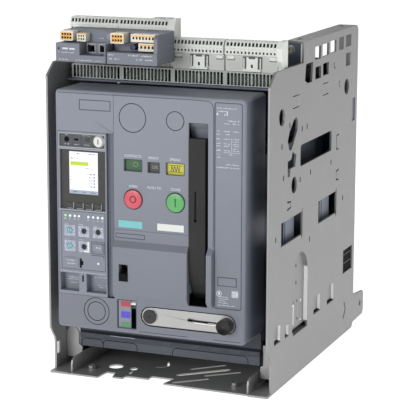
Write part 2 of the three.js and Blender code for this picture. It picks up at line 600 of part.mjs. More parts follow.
// ---- breaker: trip unit ----------------------------------------------------------------------
const DIALS = [[-116, 211], [-95, 211], [-74, 211], [-116, 189.5], [-95, 189.5]];
const DIAL_R = 3.3;
const LOCK = { x: -72, z: 334, r: 6.6 };
const QUERY = [-81, -67, 184, 195];
const recess = (x0, x1, z0, z1, depth) => box(x0, x1, COVER_FRONT - 1, COVER_FRONT + depth, z0, z1);
add(breaker, 'trip_unit', cut(
  join(
    box(TRIP.x0, TRIP.x1, COVER_FRONT, 4, TRIP.z0, TRIP.z1),
    box(TRIP.x0, TRIP.wide, 3, 44, TRIP.z0, TRIP.z1),
  ),
  recess(-129.5, -63.5, 325, 342, 2),
  recess(-129.5, -63, 240, 321, 4),
  recess(-131, -103, 127, 152, 12),
  recess(-92, -62.5, 127, 152, 12),
  recess(-98.5, -96, 141, 150, 6),
  ...DIALS.map(([x, z]) => rod('y', x, z, DIAL_R + GAP, COVER_FRONT - 1, COVER_FRONT + 8, 14)),
  rod('y', LOCK.x, LOCK.z, LOCK.r + GAP, COVER_FRONT - 1, COVER_FRONT + 12, 18),
  recess(QUERY[0] - GAP, QUERY[1] + GAP, QUERY[2] - GAP, QUERY[3] + GAP, 5),
), 'cover_grey');

DIALS.forEach(([x, z], i) => {
  add(breaker, `setting_dial_${i + 1}`, cut(
    rod('y', x, z, DIAL_R, COVER_FRONT - 0.4, COVER_FRONT + 6, 14),
    box(x - 0.6, x + 0.6, COVER_FRONT - 1, COVER_FRONT + 0.8, z - 2.4, z + 2.4),
  ), i % 3 === 0 ? 'teal' : 'black');
});
add(breaker, 'query_button', prism('y', roundRect(...QUERY, 1, 1), COVER_FRONT - 0.8, COVER_FRONT + 2),
  'cover_grey');
add(breaker, 'key_lock', cut(
  rod('y', LOCK.x, LOCK.z, LOCK.r, COVER_FRONT - 2.5, COVER_FRONT + 10, 18),
  box(LOCK.x - 0.8, LOCK.x + 0.8, COVER_FRONT - 4, COVER_FRONT + 3, LOCK.z - 3.4, LOCK.z + 3.4),
), 'bright_steel');

// ---- breaker: what the operator touches and reads ----------------------------------------------
function pushButton(x, mark) {
  const cap = prism('y', circle(x, BUTTON.z, BUTTON.r, 24), COVER_FRONT - 1.2, COVER_FRONT + 10, [], 0.8);
  return cut(join(cap, rod('y', x, BUTTON.z, 5, COVER_FRONT + 9, 10, 10)), mark);
}
const BUTTON_FACE = COVER_FRONT - 1.2;
const markFloor = BUTTON_FACE + 0.5;
const ringMark = prism('y', circle(BUTTON.open, BUTTON.z, 5, 16), BUTTON_FACE - 1, markFloor,
  [circle(BUTTON.open, BUTTON.z, 3.6, 16)]);
const barMark = box(BUTTON.close - 0.8, BUTTON.close + 0.8, BUTTON_FACE - 1, markFloor,
  BUTTON.z - 5.5, BUTTON.z + 5.5);
add(breaker, 'open_button', pushButton(BUTTON.open, ringMark), 'red');
add(breaker, 'close_button', pushButton(BUTTON.close, barMark), 'green');

const handleProfile = [
  [-24, HANDLE.top], [-24, 185], [-22.5, 168], [-18.5, 153], [-11.5, 139], [-2, 130], [4, HANDLE.bottom],
  ...arc(HANDLE_HEEL.y, HANDLE_HEEL.z, HANDLE_HEEL.r, -QUARTER, QUARTER, 6),
  [4, 155], [-3, 165], [-11, 185], [-11, HANDLE.top - 1],
];
add(breaker, 'charging_handle', cut(
  join(
    prism('x', handleProfile, HANDLE.x0, HANDLE.x1),
    rod('x', HANDLE_PIN.y, HANDLE_PIN.z, HANDLE_PIN.r, 53.5, 86.5, 14),
  ),
  box(65.6, 67.2, -25, -22, 240, 277),
  rod('y', 66.4, 239, 1.9, -25, -22, 10),
), 'black');

add(breaker, 'crank_arm', cut(
  join(
    prism('y', stadium(CRANK.left, CRANK.z, CRANK.right, CRANK.z, CRANK.r, 8),
      COVER_FRONT + 0.6, COVER_FRONT + 6),
    rod('y', CRANK.left, CRANK.z, 9.6, COVER_FRONT - 1.4, COVER_FRONT + 1, 20),
    rod('y', CRANK.left, CRANK.z, 5.6, COVER_FRONT + 5, 36, 12),
  ),
  prism('y', rect(56, 96, 102, 104), COVER_FRONT - 4, COVER_FRONT + 9),
), 'bright_steel');
add(breaker, 'crank_grip', prism('y', circle(CRANK.right, CRANK.z - 1, 10.4, 20),
  FRONT_REACH, COVER_FRONT + 0.3, [], 1), 'black');

add(breaker, 'racking_screw', join(
  rod('y', RACKING_SCREW.x, RACKING_SCREW.z, 5, -8, 184, 12),
  rod('y', RACKING_SCREW.x, RACKING_SCREW.z, 8, 20, 26, 12),
), 'bright_steel');
add(breaker, 'crank_gate', box(-40.6, -28.4, APRON_FRONT - 2, -18.6, 149.4, 160), 'black');
add(breaker, 'position_pointer', join(
  box(-26.5, -19.5, COVER_FRONT - 0.2, -18, 116, 118.6), box(-30, -16, -18.6, -17, 110, 120.5),
), 'white');

const flag = ([x0, x1, z0, z1]) => box(x0 - 2, x1 + 2, -18.6, -17, z0 - 1, z0 + 2 * (z1 - z0) + 4);
add(breaker, 'contact_flag', flag(WINDOWS.contacts), 'green');
add(breaker, 'spring_flag', flag(WINDOWS.spring), 'yellow');
add(breaker, 'ready_flag', flag(WINDOWS.ready), 'black');

// ---- the whole, standing over the middle of its footprint ----------------------------------------
const assembly = new THREE.Group();
assembly.add(guideFrame, breaker);
assembly.position.y = -(FRONT_REACH + REAR_REACH) / 2;

export default assembly;
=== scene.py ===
import math

import bmesh
import bpy
import numpy as np
from mathutils import Matrix, Vector


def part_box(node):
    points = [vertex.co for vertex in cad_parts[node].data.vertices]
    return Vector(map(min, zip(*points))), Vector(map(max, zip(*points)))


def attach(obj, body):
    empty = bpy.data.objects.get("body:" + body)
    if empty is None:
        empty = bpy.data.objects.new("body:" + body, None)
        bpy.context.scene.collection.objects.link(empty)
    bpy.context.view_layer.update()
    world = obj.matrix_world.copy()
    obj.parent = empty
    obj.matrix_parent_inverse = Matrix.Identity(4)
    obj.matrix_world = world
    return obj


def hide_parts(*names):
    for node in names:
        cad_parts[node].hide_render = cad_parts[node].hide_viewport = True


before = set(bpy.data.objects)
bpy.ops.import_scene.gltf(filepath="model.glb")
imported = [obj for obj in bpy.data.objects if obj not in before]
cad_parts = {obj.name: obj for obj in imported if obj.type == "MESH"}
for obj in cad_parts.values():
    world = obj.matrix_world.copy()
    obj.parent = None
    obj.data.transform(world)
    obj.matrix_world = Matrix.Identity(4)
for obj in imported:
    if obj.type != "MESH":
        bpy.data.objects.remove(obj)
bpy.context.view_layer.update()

# A draw-out air circuit breaker in its guide frame. Lengths in this script are millimetres:
# X across, Z up, and Y back from the front edge of the side plates, which is EDGE in the frame.
MM = 0.001


def low(node):
    """The low corner of a node's box."""
    return np.array(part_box(node)[0]) / MM


def high(node):
    """The high corner of a node's box."""
    return np.array(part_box(node)[1]) / MM


def middle_of(node):
    """The middle of a node's box."""
    return (low(node) + high(node)) / 2


EDGE = low("side_plate_right")[1]


def front_of(node):
    """How far behind the side plates' front edge a node starts."""
    return low(node)[1] - EDGE


FACE = front_of("trip_unit")
PLINTH = front_of("base_plinth")
FLAG = front_of("contact_flag")
PRINT = 0.12                # thickness of a printed mark
GAP_SHARE = 0.13            # letters left out of small print, as gaps between its words
WAY_COUNT = 14              # wires to a terminal block, and slots of the comb below it
SLOT_PITCH = 5.05           # from one slot of the comb to the next
COVER_WALL = 135.2          # where the cover's right wall starts
HARD_EDGE = 34              # degrees of turn past which an edge is rounded off


# ---- shapes: each is (points, faces, how far each point is sunk) --------------------------------
def rounded(x0, x1, z0, z1, radius=0.6, steps=3):
    """Rectangle with corners of quarter circles: each point is a corner's centre plus radius times
    (cos t, sin t)."""
    turn = np.radians(np.linspace(0, 90, steps + 1)[None] + 90 * np.arange(4)[:, None])
    centres = np.array([
        (x1 - radius, z1 - radius), (x0 + radius, z1 - radius),
        (x0 + radius, z0 + radius), (x1 - radius, z0 + radius),
    ])
    return (centres[:, None] + radius * np.stack([np.cos(turn), np.sin(turn)], -1)).reshape(-1, 2)


def circle(x, z, radius, points=28):
    """Circle: (x, z) plus radius times (cos t, sin t)."""
    turn = np.arange(points) / points * math.tau
    return np.column_stack([x + radius * np.cos(turn), z + radius * np.sin(turn)])


def dense(outline, parts):
    """The same outline with every edge cut into equal parts."""
    step = (np.arange(parts) / parts)[None, :, None]
    following = np.roll(outline, -1, 0)
    return (outline[:, None] * (1 - step) + following[:, None] * step).reshape(-1, 2)


def inset(outline, distance):
    """The outline moved inwards: each point goes square to the chord between its two neighbours."""
    chord = np.roll(outline, -1, 0) - np.roll(outline, 1, 0)
    inward = np.column_stack([-chord[:, 1], chord[:, 0]])
    return outline + inward / np.linalg.norm(inward, axis=1)[:, None] * distance


def upright(outline, y):
    """The outline (across, up) stood on the plane at y."""
    return np.column_stack([outline[:, 0], np.full(len(outline), float(y)), outline[:, 1]])


def loft(rings, closed=False):
    """Skin over n rings of m points: quads join ring i to ring i + 1; a fan from its middle shuts each end,
    unless the last ring is joined back to the first."""
    rings = np.asarray(rings, float)
    n, m = rings.shape[:2]
    i, j = (k.ravel() for k in np.indices((n if closed else n - 1, m)))
    after, beside = (i + 1) % n, (j + 1) % m
    quads = np.column_stack([i * m + j, i * m + beside, after * m + beside, after * m + j])
    points = rings.reshape(-1, 3)
    if closed:
        return points, [quads], np.zeros(len(points))
    around = np.arange(m)
    beyond = (around + 1) % m
    first = np.column_stack([beyond, around, np.full(m, n * m)])
    last = np.column_stack([around + (n - 1) * m, beyond + (n - 1) * m, np.full(m, n * m + 1)])
    points = np.concatenate([points, rings[[0, -1]].mean(1)])
    return points, [quads, first, last], np.zeros(len(points))


def plate(outline, back, front, edge=0.15):
    """Upright plate: the outline carried from back to front, drawn in by the edge at the end."""
    return loft([upright(outline, back), upright(outline, front + edge),
                 upright(inset(outline, edge), front)])


def panel(x0, x1, z0, z1, back, front, radius=0.5, edge=0.15):
    """Upright plate whose outline is a rectangle with round corners."""
    return plate(rounded(x0, x1, z0, z1, radius), back, front, edge)


def frame_of(outer, inner, back, front):
    """Upright plate between two outlines with as many points."""
    rims = ((outer, back), (outer, front), (inner, front), (inner, back))
    return loft([upright(outline, y) for outline, y in rims], closed=True)


def ring(x, z, outer, inner, back, front, points=28):
    """Upright plate between two circles about (x, z)."""
    return frame_of(circle(x, z, outer, points), circle(x, z, inner, points), back, front)


def border(x0, x1, z0, z1, width, back, front, radius=0.6, inner=None):
    """Upright plate of even width that runs round inside a rectangle with round corners."""
    within = rounded(x0 + width, x1 - width, z0 + width, z1 - width, radius if inner is None else inner)
    return frame_of(rounded(x0, x1, z0, z1, radius), within, back, front)


def path(points):
    """Rows (x0, z0, x1, z1), one to each stretch of the line through the points."""
    return np.column_stack([points[:-1], points[1:]])


def holed(outline, x, z, radius, back, front):
    """Upright plate with a round hole: its inner rim is the outline drawn in along rays onto the circle."""
    ray = outline - (x, z)
    rim = (x, z) + radius * ray / np.linalg.norm(ray, axis=1)[:, None]
    return frame_of(outline, rim, back, front)


def spun(profile, centre, axis="y", points=24):
    """Surface of turning: row (radius, along, sides) gives a ring of that radius, at that height along the
    axis; with sides above 2 the ring is a polygon, at radius * cos(pi / sides) divided by
    cos(t mod (2 pi / sides) - pi / sides)."""
    turn = (np.arange(points) / points * math.tau)[None]
    radius, along, sides = (np.array(column, float)[:, None] for column in zip(*profile))
    part = math.tau / np.maximum(sides, 1)
    flat = np.cos(part / 2) / np.cos(turn % part - part / 2)
    reach = radius * np.where(sides > 2, flat, 1.0)
    up, out = reach * np.sin(turn), reach * np.cos(turn)
    along = np.broadcast_to(along, up.shape)
    order = {"y": (out, along, up), "z": (out, up, along), "x": (along, out, up)}[axis]
    return loft(np.stack(order, -1) + np.array(centre, float))


def bars(points):
    """Skin over rows of eight corners, the four of one end first: six quads to each bar."""
    side = np.array([(0, 1, 2, 3), (7, 6, 5, 4), (0, 4, 5, 1), (1, 5, 6, 2), (2, 6, 7, 3), (3, 7, 4, 0)])
    faces = (np.arange(len(points) // 8)[:, None, None] * 8 + side).reshape(-1, 4)
    return points, [faces], np.zeros(len(points))


def blocks(boxes):
    """Many plain bars at once: row (x0, x1, y0, y1, z0, z1) gives the eight corners of one."""
    boxes = np.asarray(boxes, float).reshape(-1, 6)
    corner = np.array([(x, y, z) for z in (4, 5) for x, y in ((0, 2), (1, 2), (1, 3), (0, 3))])
    return bars(boxes[:, corner].reshape(-1, 3))


def strokes(ends, width, back, front):
    """Straight marks: row (x0, z0, x1, z1) gives a bar of that width along the line between two points."""
    ends = np.asarray(ends, float).reshape(-1, 4)
    start, stop = ends[:, :2], ends[:, 2:]
    way = (stop - start) / np.linalg.norm(stop - start, axis=1)[:, None] * width / 2
    side = np.column_stack([-way[:, 1], way[:, 0]])
    flat = np.stack([start - side, stop - side, stop + side, start + side], 1)
    depth = np.array([back, front])[None, :, None, None]
    flat = np.broadcast_to(flat[:, None], (len(ends), 2, 4, 2))
    depth = np.broadcast_to(depth, (len(ends), 2, 4, 1))
    return bars(np.concatenate([flat[..., :1], depth, flat[..., 1:]], -1).reshape(-1, 3))


def relief(xs, zs, ys, back, sunk):
    """Face over a grid: point (i, j) stands at (xs[i], ys[i, j], zs[j]); its border runs to a flat back."""
    xs, zs = (np.pad(np.asarray(line, float), 1, mode="edge") for line in (xs, zs))
    ys = np.pad(ys, 1, constant_values=back)
    n, m = ys.shape
    points = np.stack(np.broadcast_arrays(xs[:, None], ys, zs[None]), -1).reshape(-1, 3)
    i, j = (k.ravel() for k in np.indices((n - 1, m - 1)))
    start = i * m + j
    quads = np.column_stack([start, start + 1, start + m + 1, start + m])
    ids = np.arange(n * m).reshape(n, m)
    around = np.concatenate([ids[0, :-1], ids[:-1, -1], ids[-1, :0:-1], ids[:0:-1, 0]])
    fan = np.column_stack([around, np.roll(around, -1), np.full(len(around), n * m)])
    points = np.concatenate([points, [[xs.mean(), back, zs.mean()]]])
    return points, [quads, fan], np.append(np.pad(sunk, 1).ravel(), 0.0)


def bank(x0, x1, z0, z1, back, front, across, up, hole, depth, margin=0.8):
    """A plug's face with a grid of wire entries: the face steps back by the depth inside each entry."""
    def line(start, stop, count, half):
        """Grid lines along one side: just outside and just inside each entry's two edges."""
        pitch = (stop - start - 2 * margin) / count
        middle = start + margin + pitch * (np.arange(count) + 0.5)
        inner = (middle[:, None] + np.array([-half - 0.04, -half, half, half + 0.04])).ravel()
        flag = np.tile([0, 1, 1, 0], count)
        return np.concatenate([[start], inner, [stop]]), np.concatenate([[0], flag, [0]])
    xs, open_x = line(x0, x1, across, hole[0] / 2)
    zs, open_z = line(z0, z1, up, hole[1] / 2)
    sunk = (open_x[:, None] * open_z[None]).astype(float)
    return relief(xs, zs, front + depth * sunk, back, sunk)


def word(text, size, x, z, y, align="CENTER"):
    """A word's filled outlines, carried forwards by a print's thickness, standing at y."""
    curve = bpy.data.curves.new("word", "FONT")
    curve.body, curve.size, curve.align_x, curve.extrude = text, size, align, PRINT / 2
    curve.resolution_u = 2
    holder = bpy.data.objects.new("word", curve)
    mesh = bpy.data.meshes.new_from_object(holder)
    mesh.calc_loop_triangles()
    flat = np.empty(len(mesh.vertices) * 3)
    mesh.vertices.foreach_get("co", flat)
    faces = np.empty(len(mesh.loop_triangles) * 3, int)
    mesh.loop_triangles.foreach_get("vertices", faces)
    flat = flat.reshape(-1, 3)
    points = np.column_stack([flat[:, 0] + x, y - flat[:, 2], flat[:, 1] + z])
    bpy.data.objects.remove(holder)
    bpy.data.curves.remove(curve)
    bpy.data.meshes.remove(mesh)
    return points, [faces.reshape(-1, 3)], np.zeros(len(points))


def small_print(seed, rows, height, y, letter=0.9):
    """Rows of unreadable small print: row (x0, x1, z) is filled with short upright and level dashes."""
    rng = np.random.default_rng(seed)
    dashes = []
    for x0, x1, z in rows:
        count = max(2, int((x1 - x0) / letter))
        left = np.linspace(x0, x1, count, endpoint=False)
        left = left[rng.random(count) > GAP_SHARE]
        wide = letter * rng.uniform(0.45, 0.85, len(left))
        base = z + height * rng.choice([0.0, 0.0, 0.35], len(left))
        tall = height * rng.choice([0.45, 0.7, 1.0], len(left))
        top = np.minimum(base + tall, z + height)
        level = np.full(len(left), y)
        dashes.append(np.column_stack([left, left + wide, level - PRINT, level, base, top]))
    return blocks(np.concatenate(dashes))


# ---- finishes -----------------------------------------------------------------------------------
def paint(red, green, blue):
    """Linear colour of an 8-bit display colour."""
    share = np.array([red, green, blue]) / 255
    return (*np.where(share > 0.04045, ((share + 0.055) / 1.055) ** 2.4, share / 12.92), 1.0)


def grey(amount):
    """An even grey."""
    return (amount, amount, amount, 1.0)


def shaded(colour, amount):
    """The colour times an amount, held below white."""
    return (*(min(1.0, part * amount) for part in colour[:3]), 1.0)


class Value:
    """One socket of a finish, with the arithmetic that adds its Math nodes."""

    def __init__(self, finish, socket):
        self.finish = finish
        self.socket = socket

    def combine(self, operation, *terms):
        """A Math node of that operation over the terms, each a value or a number."""
        return self.finish.node("ShaderNodeMath", {"operation": operation}, dict(enumerate(terms)))

    def __add__(self, other):
        return self.combine("ADD", self, other)

    def __mul__(self, other):
        return self.combine("MULTIPLY", self, other)

    def __sub__(self, other):
        return self.combine("SUBTRACT", self, other)

    def __gt__(self, other):
        return self.combine("GREATER_THAN", self, other)


class Finish:
    """A finish: one Principled shader, its even settings, and the patterns that feed it."""

    def __init__(self, name, even):
        self.material = bpy.data.materials.new(name)
        self.material.use_nodes = True
        self.tree = self.material.node_tree
        self.shader = self.tree.nodes["Principled BSDF"]
        for socket, value in even.items():
            self.shader.inputs[socket].default_value = value

    def node(self, kind, settings=None, values=None, output=0):
        """Any node: its settings are made first, then each socket gets its value or its link."""
        made = self.tree.nodes.new(kind)
        for name, setting in (settings or {}).items():
            setattr(made, name, setting)
        for key, value in (values or {}).items():
            if isinstance(value, Value):
                self.tree.links.new(value.socket, made.inputs[key])
            else:
                made.inputs[key].default_value = value
        return Value(self, made.outputs[output])

    def noise(self, size, detail=2.0, stretch=(1, 1, 1)):
        """Blotches about size mm across, drawn out along the axes by the stretch."""
        place = self.node("ShaderNodeTexCoord", output="Object")
        scale = [1 / part for part in stretch]
        drawn = self.node("ShaderNodeMapping", None, {"Vector": place, "Scale": scale})
        values = {"Vector": drawn, "Scale": 1 / (size * MM), "Detail": detail}
        return self.node("ShaderNodeTexNoise", None, values)

    def along(self, axis):
        """Place along an axis, in metres."""
        place = self.node("ShaderNodeTexCoord", output="Object")
        return self.node("ShaderNodeSeparateXYZ", None, {0: place}, output=axis)

    def between(self, axis, start, stop):
        """0 where the place along an axis is at the start, 1 where it is at the stop, both in mm."""
        return self.along(axis) * (1 / MM / (stop - start)) - start / (stop - start)

    def depth(self):
        """How far the surface is sunk, from the piece's own attribute."""
        return self.node("ShaderNodeAttribute", {"attribute_name": "sunk"}, output="Fac")

    def mix(self, share, first, second):
        """The first colour where the share is 0, the second where it is 1."""
        return self.node("ShaderNodeMix", {"data_type": "RGBA"}, {0: share, 6: first, 7: second}, output=2)

    def bump(self, height, rise):
        """Relief in the shading only; the rise is in mm."""
        return self.node("ShaderNodeBump", None, {"Height": height, "Distance": rise * MM})

    def feed(self, **sockets):
        """Link each value to the shader's socket of that name."""
        for name, value in sockets.items():
            self.tree.links.new(value.socket, self.shader.inputs[name.replace("_", " ")])
        return self


def moulded(name, colour, rough=0.5, grain=0.6, rise=0.03, drift=0.07, second=None, beyond=(2, 0.0),
            even=None):
    """Moulded plastic: fine eroded grain, a slow drift of shade and patchy gloss.
    A second colour may start beyond a length in mm along an axis."""
    finish = Finish(name, even or {})
    slow = finish.noise(45, 3)
    fine = finish.noise(grain, 2)
    tone = slow * 0.7 + fine * 0.3
    shade = finish.mix(tone, shaded(colour, 1 - drift), shaded(colour, 1 + drift))
    if second:
        lifted = finish.mix(tone, shaded(second, 1 - drift), shaded(second, 1 + drift))
        shade = finish.mix(finish.along(beyond[0]) > beyond[1] * MM, shade, lifted)
    return finish.feed(
        Base_Color=shade, Roughness=slow * 0.16 + fine * 0.08 + (rough - 0.12),
        Normal=finish.bump(fine, rise),
    )


def recessed(name, colour, painted_shade_colour, rough=0.5):
    """Moulded plastic whose wire entries darken with depth into painted shade."""
    finish = Finish(name, {})
    slow = finish.noise(30, 3)
    fine = finish.noise(0.5, 2)
    shade = finish.mix(slow * 0.6 + fine * 0.4, shaded(colour, 0.93), shaded(colour, 1.05))
    # painted shade: the deeper the surface is sunk, the nearer it comes to the dark colour
    dark = finish.mix(finish.depth(), shade, painted_shade_colour)
    return finish.feed(Base_Color=dark, Roughness=slow * 0.15 + (rough - 0.08),
                       Normal=finish.bump(fine, 0.02))


def zinc(name, colour, metal=0.4, rough=0.5, stretch=(1, 1, 14)):
    """Zinc-coated sheet: cloudy spangle, faint rolling lines drawn out along the sheet, uneven gloss."""
    finish = Finish(name, {})
    cloud = finish.noise(22, 4)
    spangle = finish.noise(3.2, 3)
    rolled = finish.noise(0.9, 2, stretch)
    tone = cloud * 0.45 + spangle * 0.3 + rolled * 0.25
    return finish.feed(
        Base_Color=finish.mix(tone, shaded(colour, 0.84), shaded(colour, 1.14)),
        Metallic=spangle * 0.12 + metal,
        Roughness=cloud * 0.2 + rolled * 0.12 + (rough - 0.16),
        Normal=finish.bump(rolled * 0.6 + spangle * 0.4, 0.03),
    )


def brushed(name, colour, stretch, metal=0.75, rough=0.34):
    """Brushed metal: fine scratches drawn out along one axis over a slow cloud of shade."""
    finish = Finish(name, {})
    cloud = finish.noise(26, 2)
    scratch = finish.noise(0.35, 3, stretch)
    tone = cloud * 0.35 + scratch * 0.65
    return finish.feed(
        Base_Color=finish.mix(tone, shaded(colour, 0.85), shaded(colour, 1.12)),
        Metallic=cloud * 0.1 + metal,
        Roughness=scratch * 0.2 + (rough - 0.1),
        Normal=finish.bump(scratch, 0.02),
    )


def speckled(name, colour, second):
    """Printed field of fine dots: two inks by a hard-edged fine noise."""
    finish = Finish(name, {})
    dots = finish.noise(0.8, 1)
    cloud = finish.noise(9, 2)
    return finish.feed(
        Base_Color=finish.mix(dots > 0.55, colour, second), Roughness=cloud * 0.2 + 0.35,
        Normal=finish.bump(dots, 0.01),
    )


def cover_plastic_painted_shade(name, colour, dark):
    """Moulded plastic with painted shade: darker towards its foot, and its right wall painted dark
    as the frame's shadow.
    """
    finish = Finish(name, {})
    slow = finish.noise(45, 3)
    fine = finish.noise(0.6, 2)
    # painted shade: the face darkens from a height of 336 mm down to 96 mm
    face = finish.mix(finish.between(2, 96, 336), shaded(colour, 0.7), shaded(colour, 0.98))
    cloudy = finish.mix(slow * 0.7 + fine * 0.3, grey(0.93), grey(1.07))
    face = finish.node("ShaderNodeMix", {"data_type": "RGBA", "blend_type": "MULTIPLY"},
                       {0: 1.0, 6: face, 7: cloudy}, output=2)
    # painted shadow: past COVER_WALL the right wall fades into the dark colour from its front edge backwards
    wall = finish.along(0) > COVER_WALL * MM
    fall = wall * finish.between(1, EDGE + FACE - 4, EDGE + FACE + 21)
    return finish.feed(
        Base_Color=finish.mix(fall, face, dark), Roughness=slow * 0.16 + fine * 0.08 + 0.38,
        Normal=finish.bump(fine, 0.03),
    )


def fading(name, colour, painted_shade_colour, low_end, high_end):
    """Moulded plastic with painted shade: it falls from its colour at the high end into the dark at the low
    end, by height in mm."""
    finish = Finish(name, {})
    slow = finish.noise(30, 3)
    even = finish.mix(slow, shaded(colour, 0.93), shaded(colour, 1.05))
    shade = finish.mix(finish.between(2, low_end, high_end), painted_shade_colour, even)
    return finish.feed(Base_Color=shade, Roughness=slow * 0.15 + 0.45, Normal=finish.bump(slow, 0.02))


def glowing(name, colour, strength):
    """Lit display glass: an even glow with a faint unevenness, under a smooth coat. The same glow
    also serves for painted highlights.
    """
    finish = Finish(name, {"Emission Strength": strength, "Coat Weight": 0.3, "Coat Roughness": 0.08})
    cloud = finish.noise(18, 2)
    shade = finish.mix(cloud, shaded(colour, 0.93), shaded(colour, 1.03))
    return finish.feed(Base_Color=shade, Emission_Color=shade, Roughness=cloud * 0.1 + 0.2)


# cover plastic with painted shade towards its foot and a painted shadow on its right wall
COVER = cover_plastic_painted_shade("cover_plastic_painted_shade", paint(136, 140, 152), paint(88, 94, 108))
UNIT = moulded("trip_unit_plastic", paint(129, 133, 145), grain=0.5)
# a shaded copy of the trip unit's plastic: painted shade for its right wall in the gap beside the cover
UNIT_PAINTED_SHADE = moulded("trip_unit_painted_shade", paint(100, 105, 117), grain=0.5)
PLINTH_TWO = moulded("plinth_plastic", paint(70, 75, 84), second=paint(50, 55, 65), beyond=(2, 42.6))
POINTER = moulded("pointer_plastic", paint(52, 54, 60), second=paint(226, 228, 224), beyond=(2, 115.6))
PAD = moulded("guide_pad_plastic", paint(128, 137, 150))
BLOCK_FOOT = moulded("block_foot_plastic", paint(206, 209, 204), rough=0.55)
# painted highlight: a glowing white for bright edges, and for the backdrop's light seen through gaps
GLINT = glowing("painted_glint", paint(226, 226, 226), 0.3)
CODE = speckled("code_field", paint(206, 210, 218), paint(140, 144, 156))
FAINT = moulded("print_faint", paint(146, 158, 148), rough=0.6, grain=0.4)
HOUSING = moulded("housing_thermoset", paint(66, 72, 84), rough=0.6, grain=1.2, rise=0.06)
CHUTE = moulded("chute_thermoset", paint(58, 63, 74), rough=0.62, grain=1.2, rise=0.06)
RAIL_PAINT = moulded("rail_paint", paint(88, 94, 110), rough=0.45, grain=1.5)
BLACK = moulded("handle_black", paint(24, 24, 25), rough=0.66, grain=0.7)
# near-black: painted shade inside gaps, holes and slots; it also dresses the crank gate
BLACK_AND_GAP_SHADE = moulded("black_and_painted_gap_shade", paint(14, 15, 17), rough=0.8, even={"Specular IOR Level": 0.15})
KNOB = moulded("knob_grey", paint(38, 37, 37), rough=0.5)
MODULE = moulded("module_plastic", paint(120, 124, 136))
COMB = moulded("comb_plastic", paint(182, 187, 182), rough=0.55)
# plastics whose wire entries are painted dark inside, as shade
WAYS = recessed("terminal_plastic", paint(236, 239, 234), paint(12, 13, 12))
CLIP = moulded("clip_plastic", paint(238, 241, 235), rough=0.42)
CREAM = recessed("plug_cream", paint(236, 231, 214), paint(26, 24, 20), rough=0.42)
ORANGE = recessed("plug_orange", paint(238, 178, 86), paint(70, 38, 14), rough=0.42)
RED = moulded("button_red", paint(210, 86, 98), rough=0.34, grain=0.9, rise=0.01)
GREEN = moulded("button_green", paint(96, 172, 104), rough=0.34, grain=0.9, rise=0.01)
MARK_RED = moulded("mark_red", paint(120, 14, 30), rough=0.5)
MARK_GREEN = moulded("mark_green", paint(28, 104, 48), rough=0.5)
TEAL = moulded("plate_teal", paint(122, 192, 195), rough=0.4)
WHITE = moulded("plate_white", paint(226, 228, 224), rough=0.4)
FLAG_GREEN = moulded("flag_green", paint(58, 98, 66), rough=0.45)
FLAG_DARK = moulded("flag_dark", paint(76, 77, 72), rough=0.5)
FLAG_YELLOW = moulded("flag_yellow", paint(206, 202, 66), rough=0.45)
INK = moulded("print_white", paint(218, 222, 230), rough=0.6, grain=0.4)
INK_DARK = moulded("print_dark", paint(44, 48, 58), rough=0.6, grain=0.4)
# grey print; it also paints the shadows round the terminal blocks' clips
GREY_PRINT_AND_SHADE = moulded("print_grey_and_painted_shade", paint(92, 94, 98), rough=0.6, grain=0.4)
LINE = moulded("joint_shadow", paint(62, 68, 82), rough=0.7)
# painted highlight on lit edges, rims and steps
EDGE_HIGHLIGHT = moulded("painted_edge_highlight", paint(168, 172, 180), rough=0.4)
BEZEL = moulded("bezel", paint(54, 54, 50), rough=0.28, grain=0.4, rise=0.006)
STRIP = moulded("strip_foil", paint(74, 76, 80), rough=0.4, grain=0.5)
IVORY = moulded("lock_ivory", paint(228, 227, 221), rough=0.3, grain=0.9, rise=0.01)
FIELD = speckled("field_speckle", paint(150, 156, 176), paint(206, 210, 224))
BLUE = moulded("cap_blue", paint(30, 28, 84), rough=0.35)
POS_RED = moulded("position_red", paint(176, 62, 70), rough=0.45)
POS_BLUE = moulded("position_blue", paint(84, 72, 196), rough=0.45)
POS_GREEN = moulded("position_green", paint(84, 140, 96), rough=0.45)
# painted shade: the scoop darkens from a height of 365 mm down to 349 mm, over the top of the handle
SCOOP = fading("scoop_plastic_painted_shade", paint(150, 154, 166), paint(16, 17, 20), 349, 365)
SCREEN = glowing("screen_white", paint(232, 234, 240), 0.25)
SCREEN_LIME = glowing("screen_lime", paint(178, 206, 44), 0.15)
SCREEN_FOOT = glowing("screen_foot", paint(160, 172, 188), 0.1)
LED_GREEN = glowing("led_green", paint(120, 230, 90), 0.6)
LED_WHITE = glowing("led_white", paint(236, 240, 240), 0.25)
STEEL = zinc("side_plate_zinc", paint(157, 157, 157))
TRAY_STEEL = zinc("tray_zinc", paint(158, 158, 156), stretch=(14, 1, 1))
RAIL_STEEL = zinc("rail_zinc", paint(168, 168, 168), metal=0.5, stretch=(1, 14, 1))
BRIGHT = brushed("bright_steel", paint(174, 174, 173), (30, 1, 1))
SCREW = brushed("screw_steel", paint(176, 170, 156), (1, 1, 1), rough=0.3)
PLATED = brushed("silver_plate", paint(198, 190, 176), (1, 30, 1), metal=0.9)
COPPER = brushed("contact_copper", paint(190, 140, 104), (1, 1, 30), metal=0.9)
SHUTTER = moulded("shutter_plastic", paint(196, 198, 190), rough=0.55)


# ---- pieces -------------------------------------------------------------------------------------
def add(name, data):
    """A new object in the scene."""
    added = bpy.data.objects.new(name, data)
    bpy.context.scene.collection.objects.link(added)
    return added


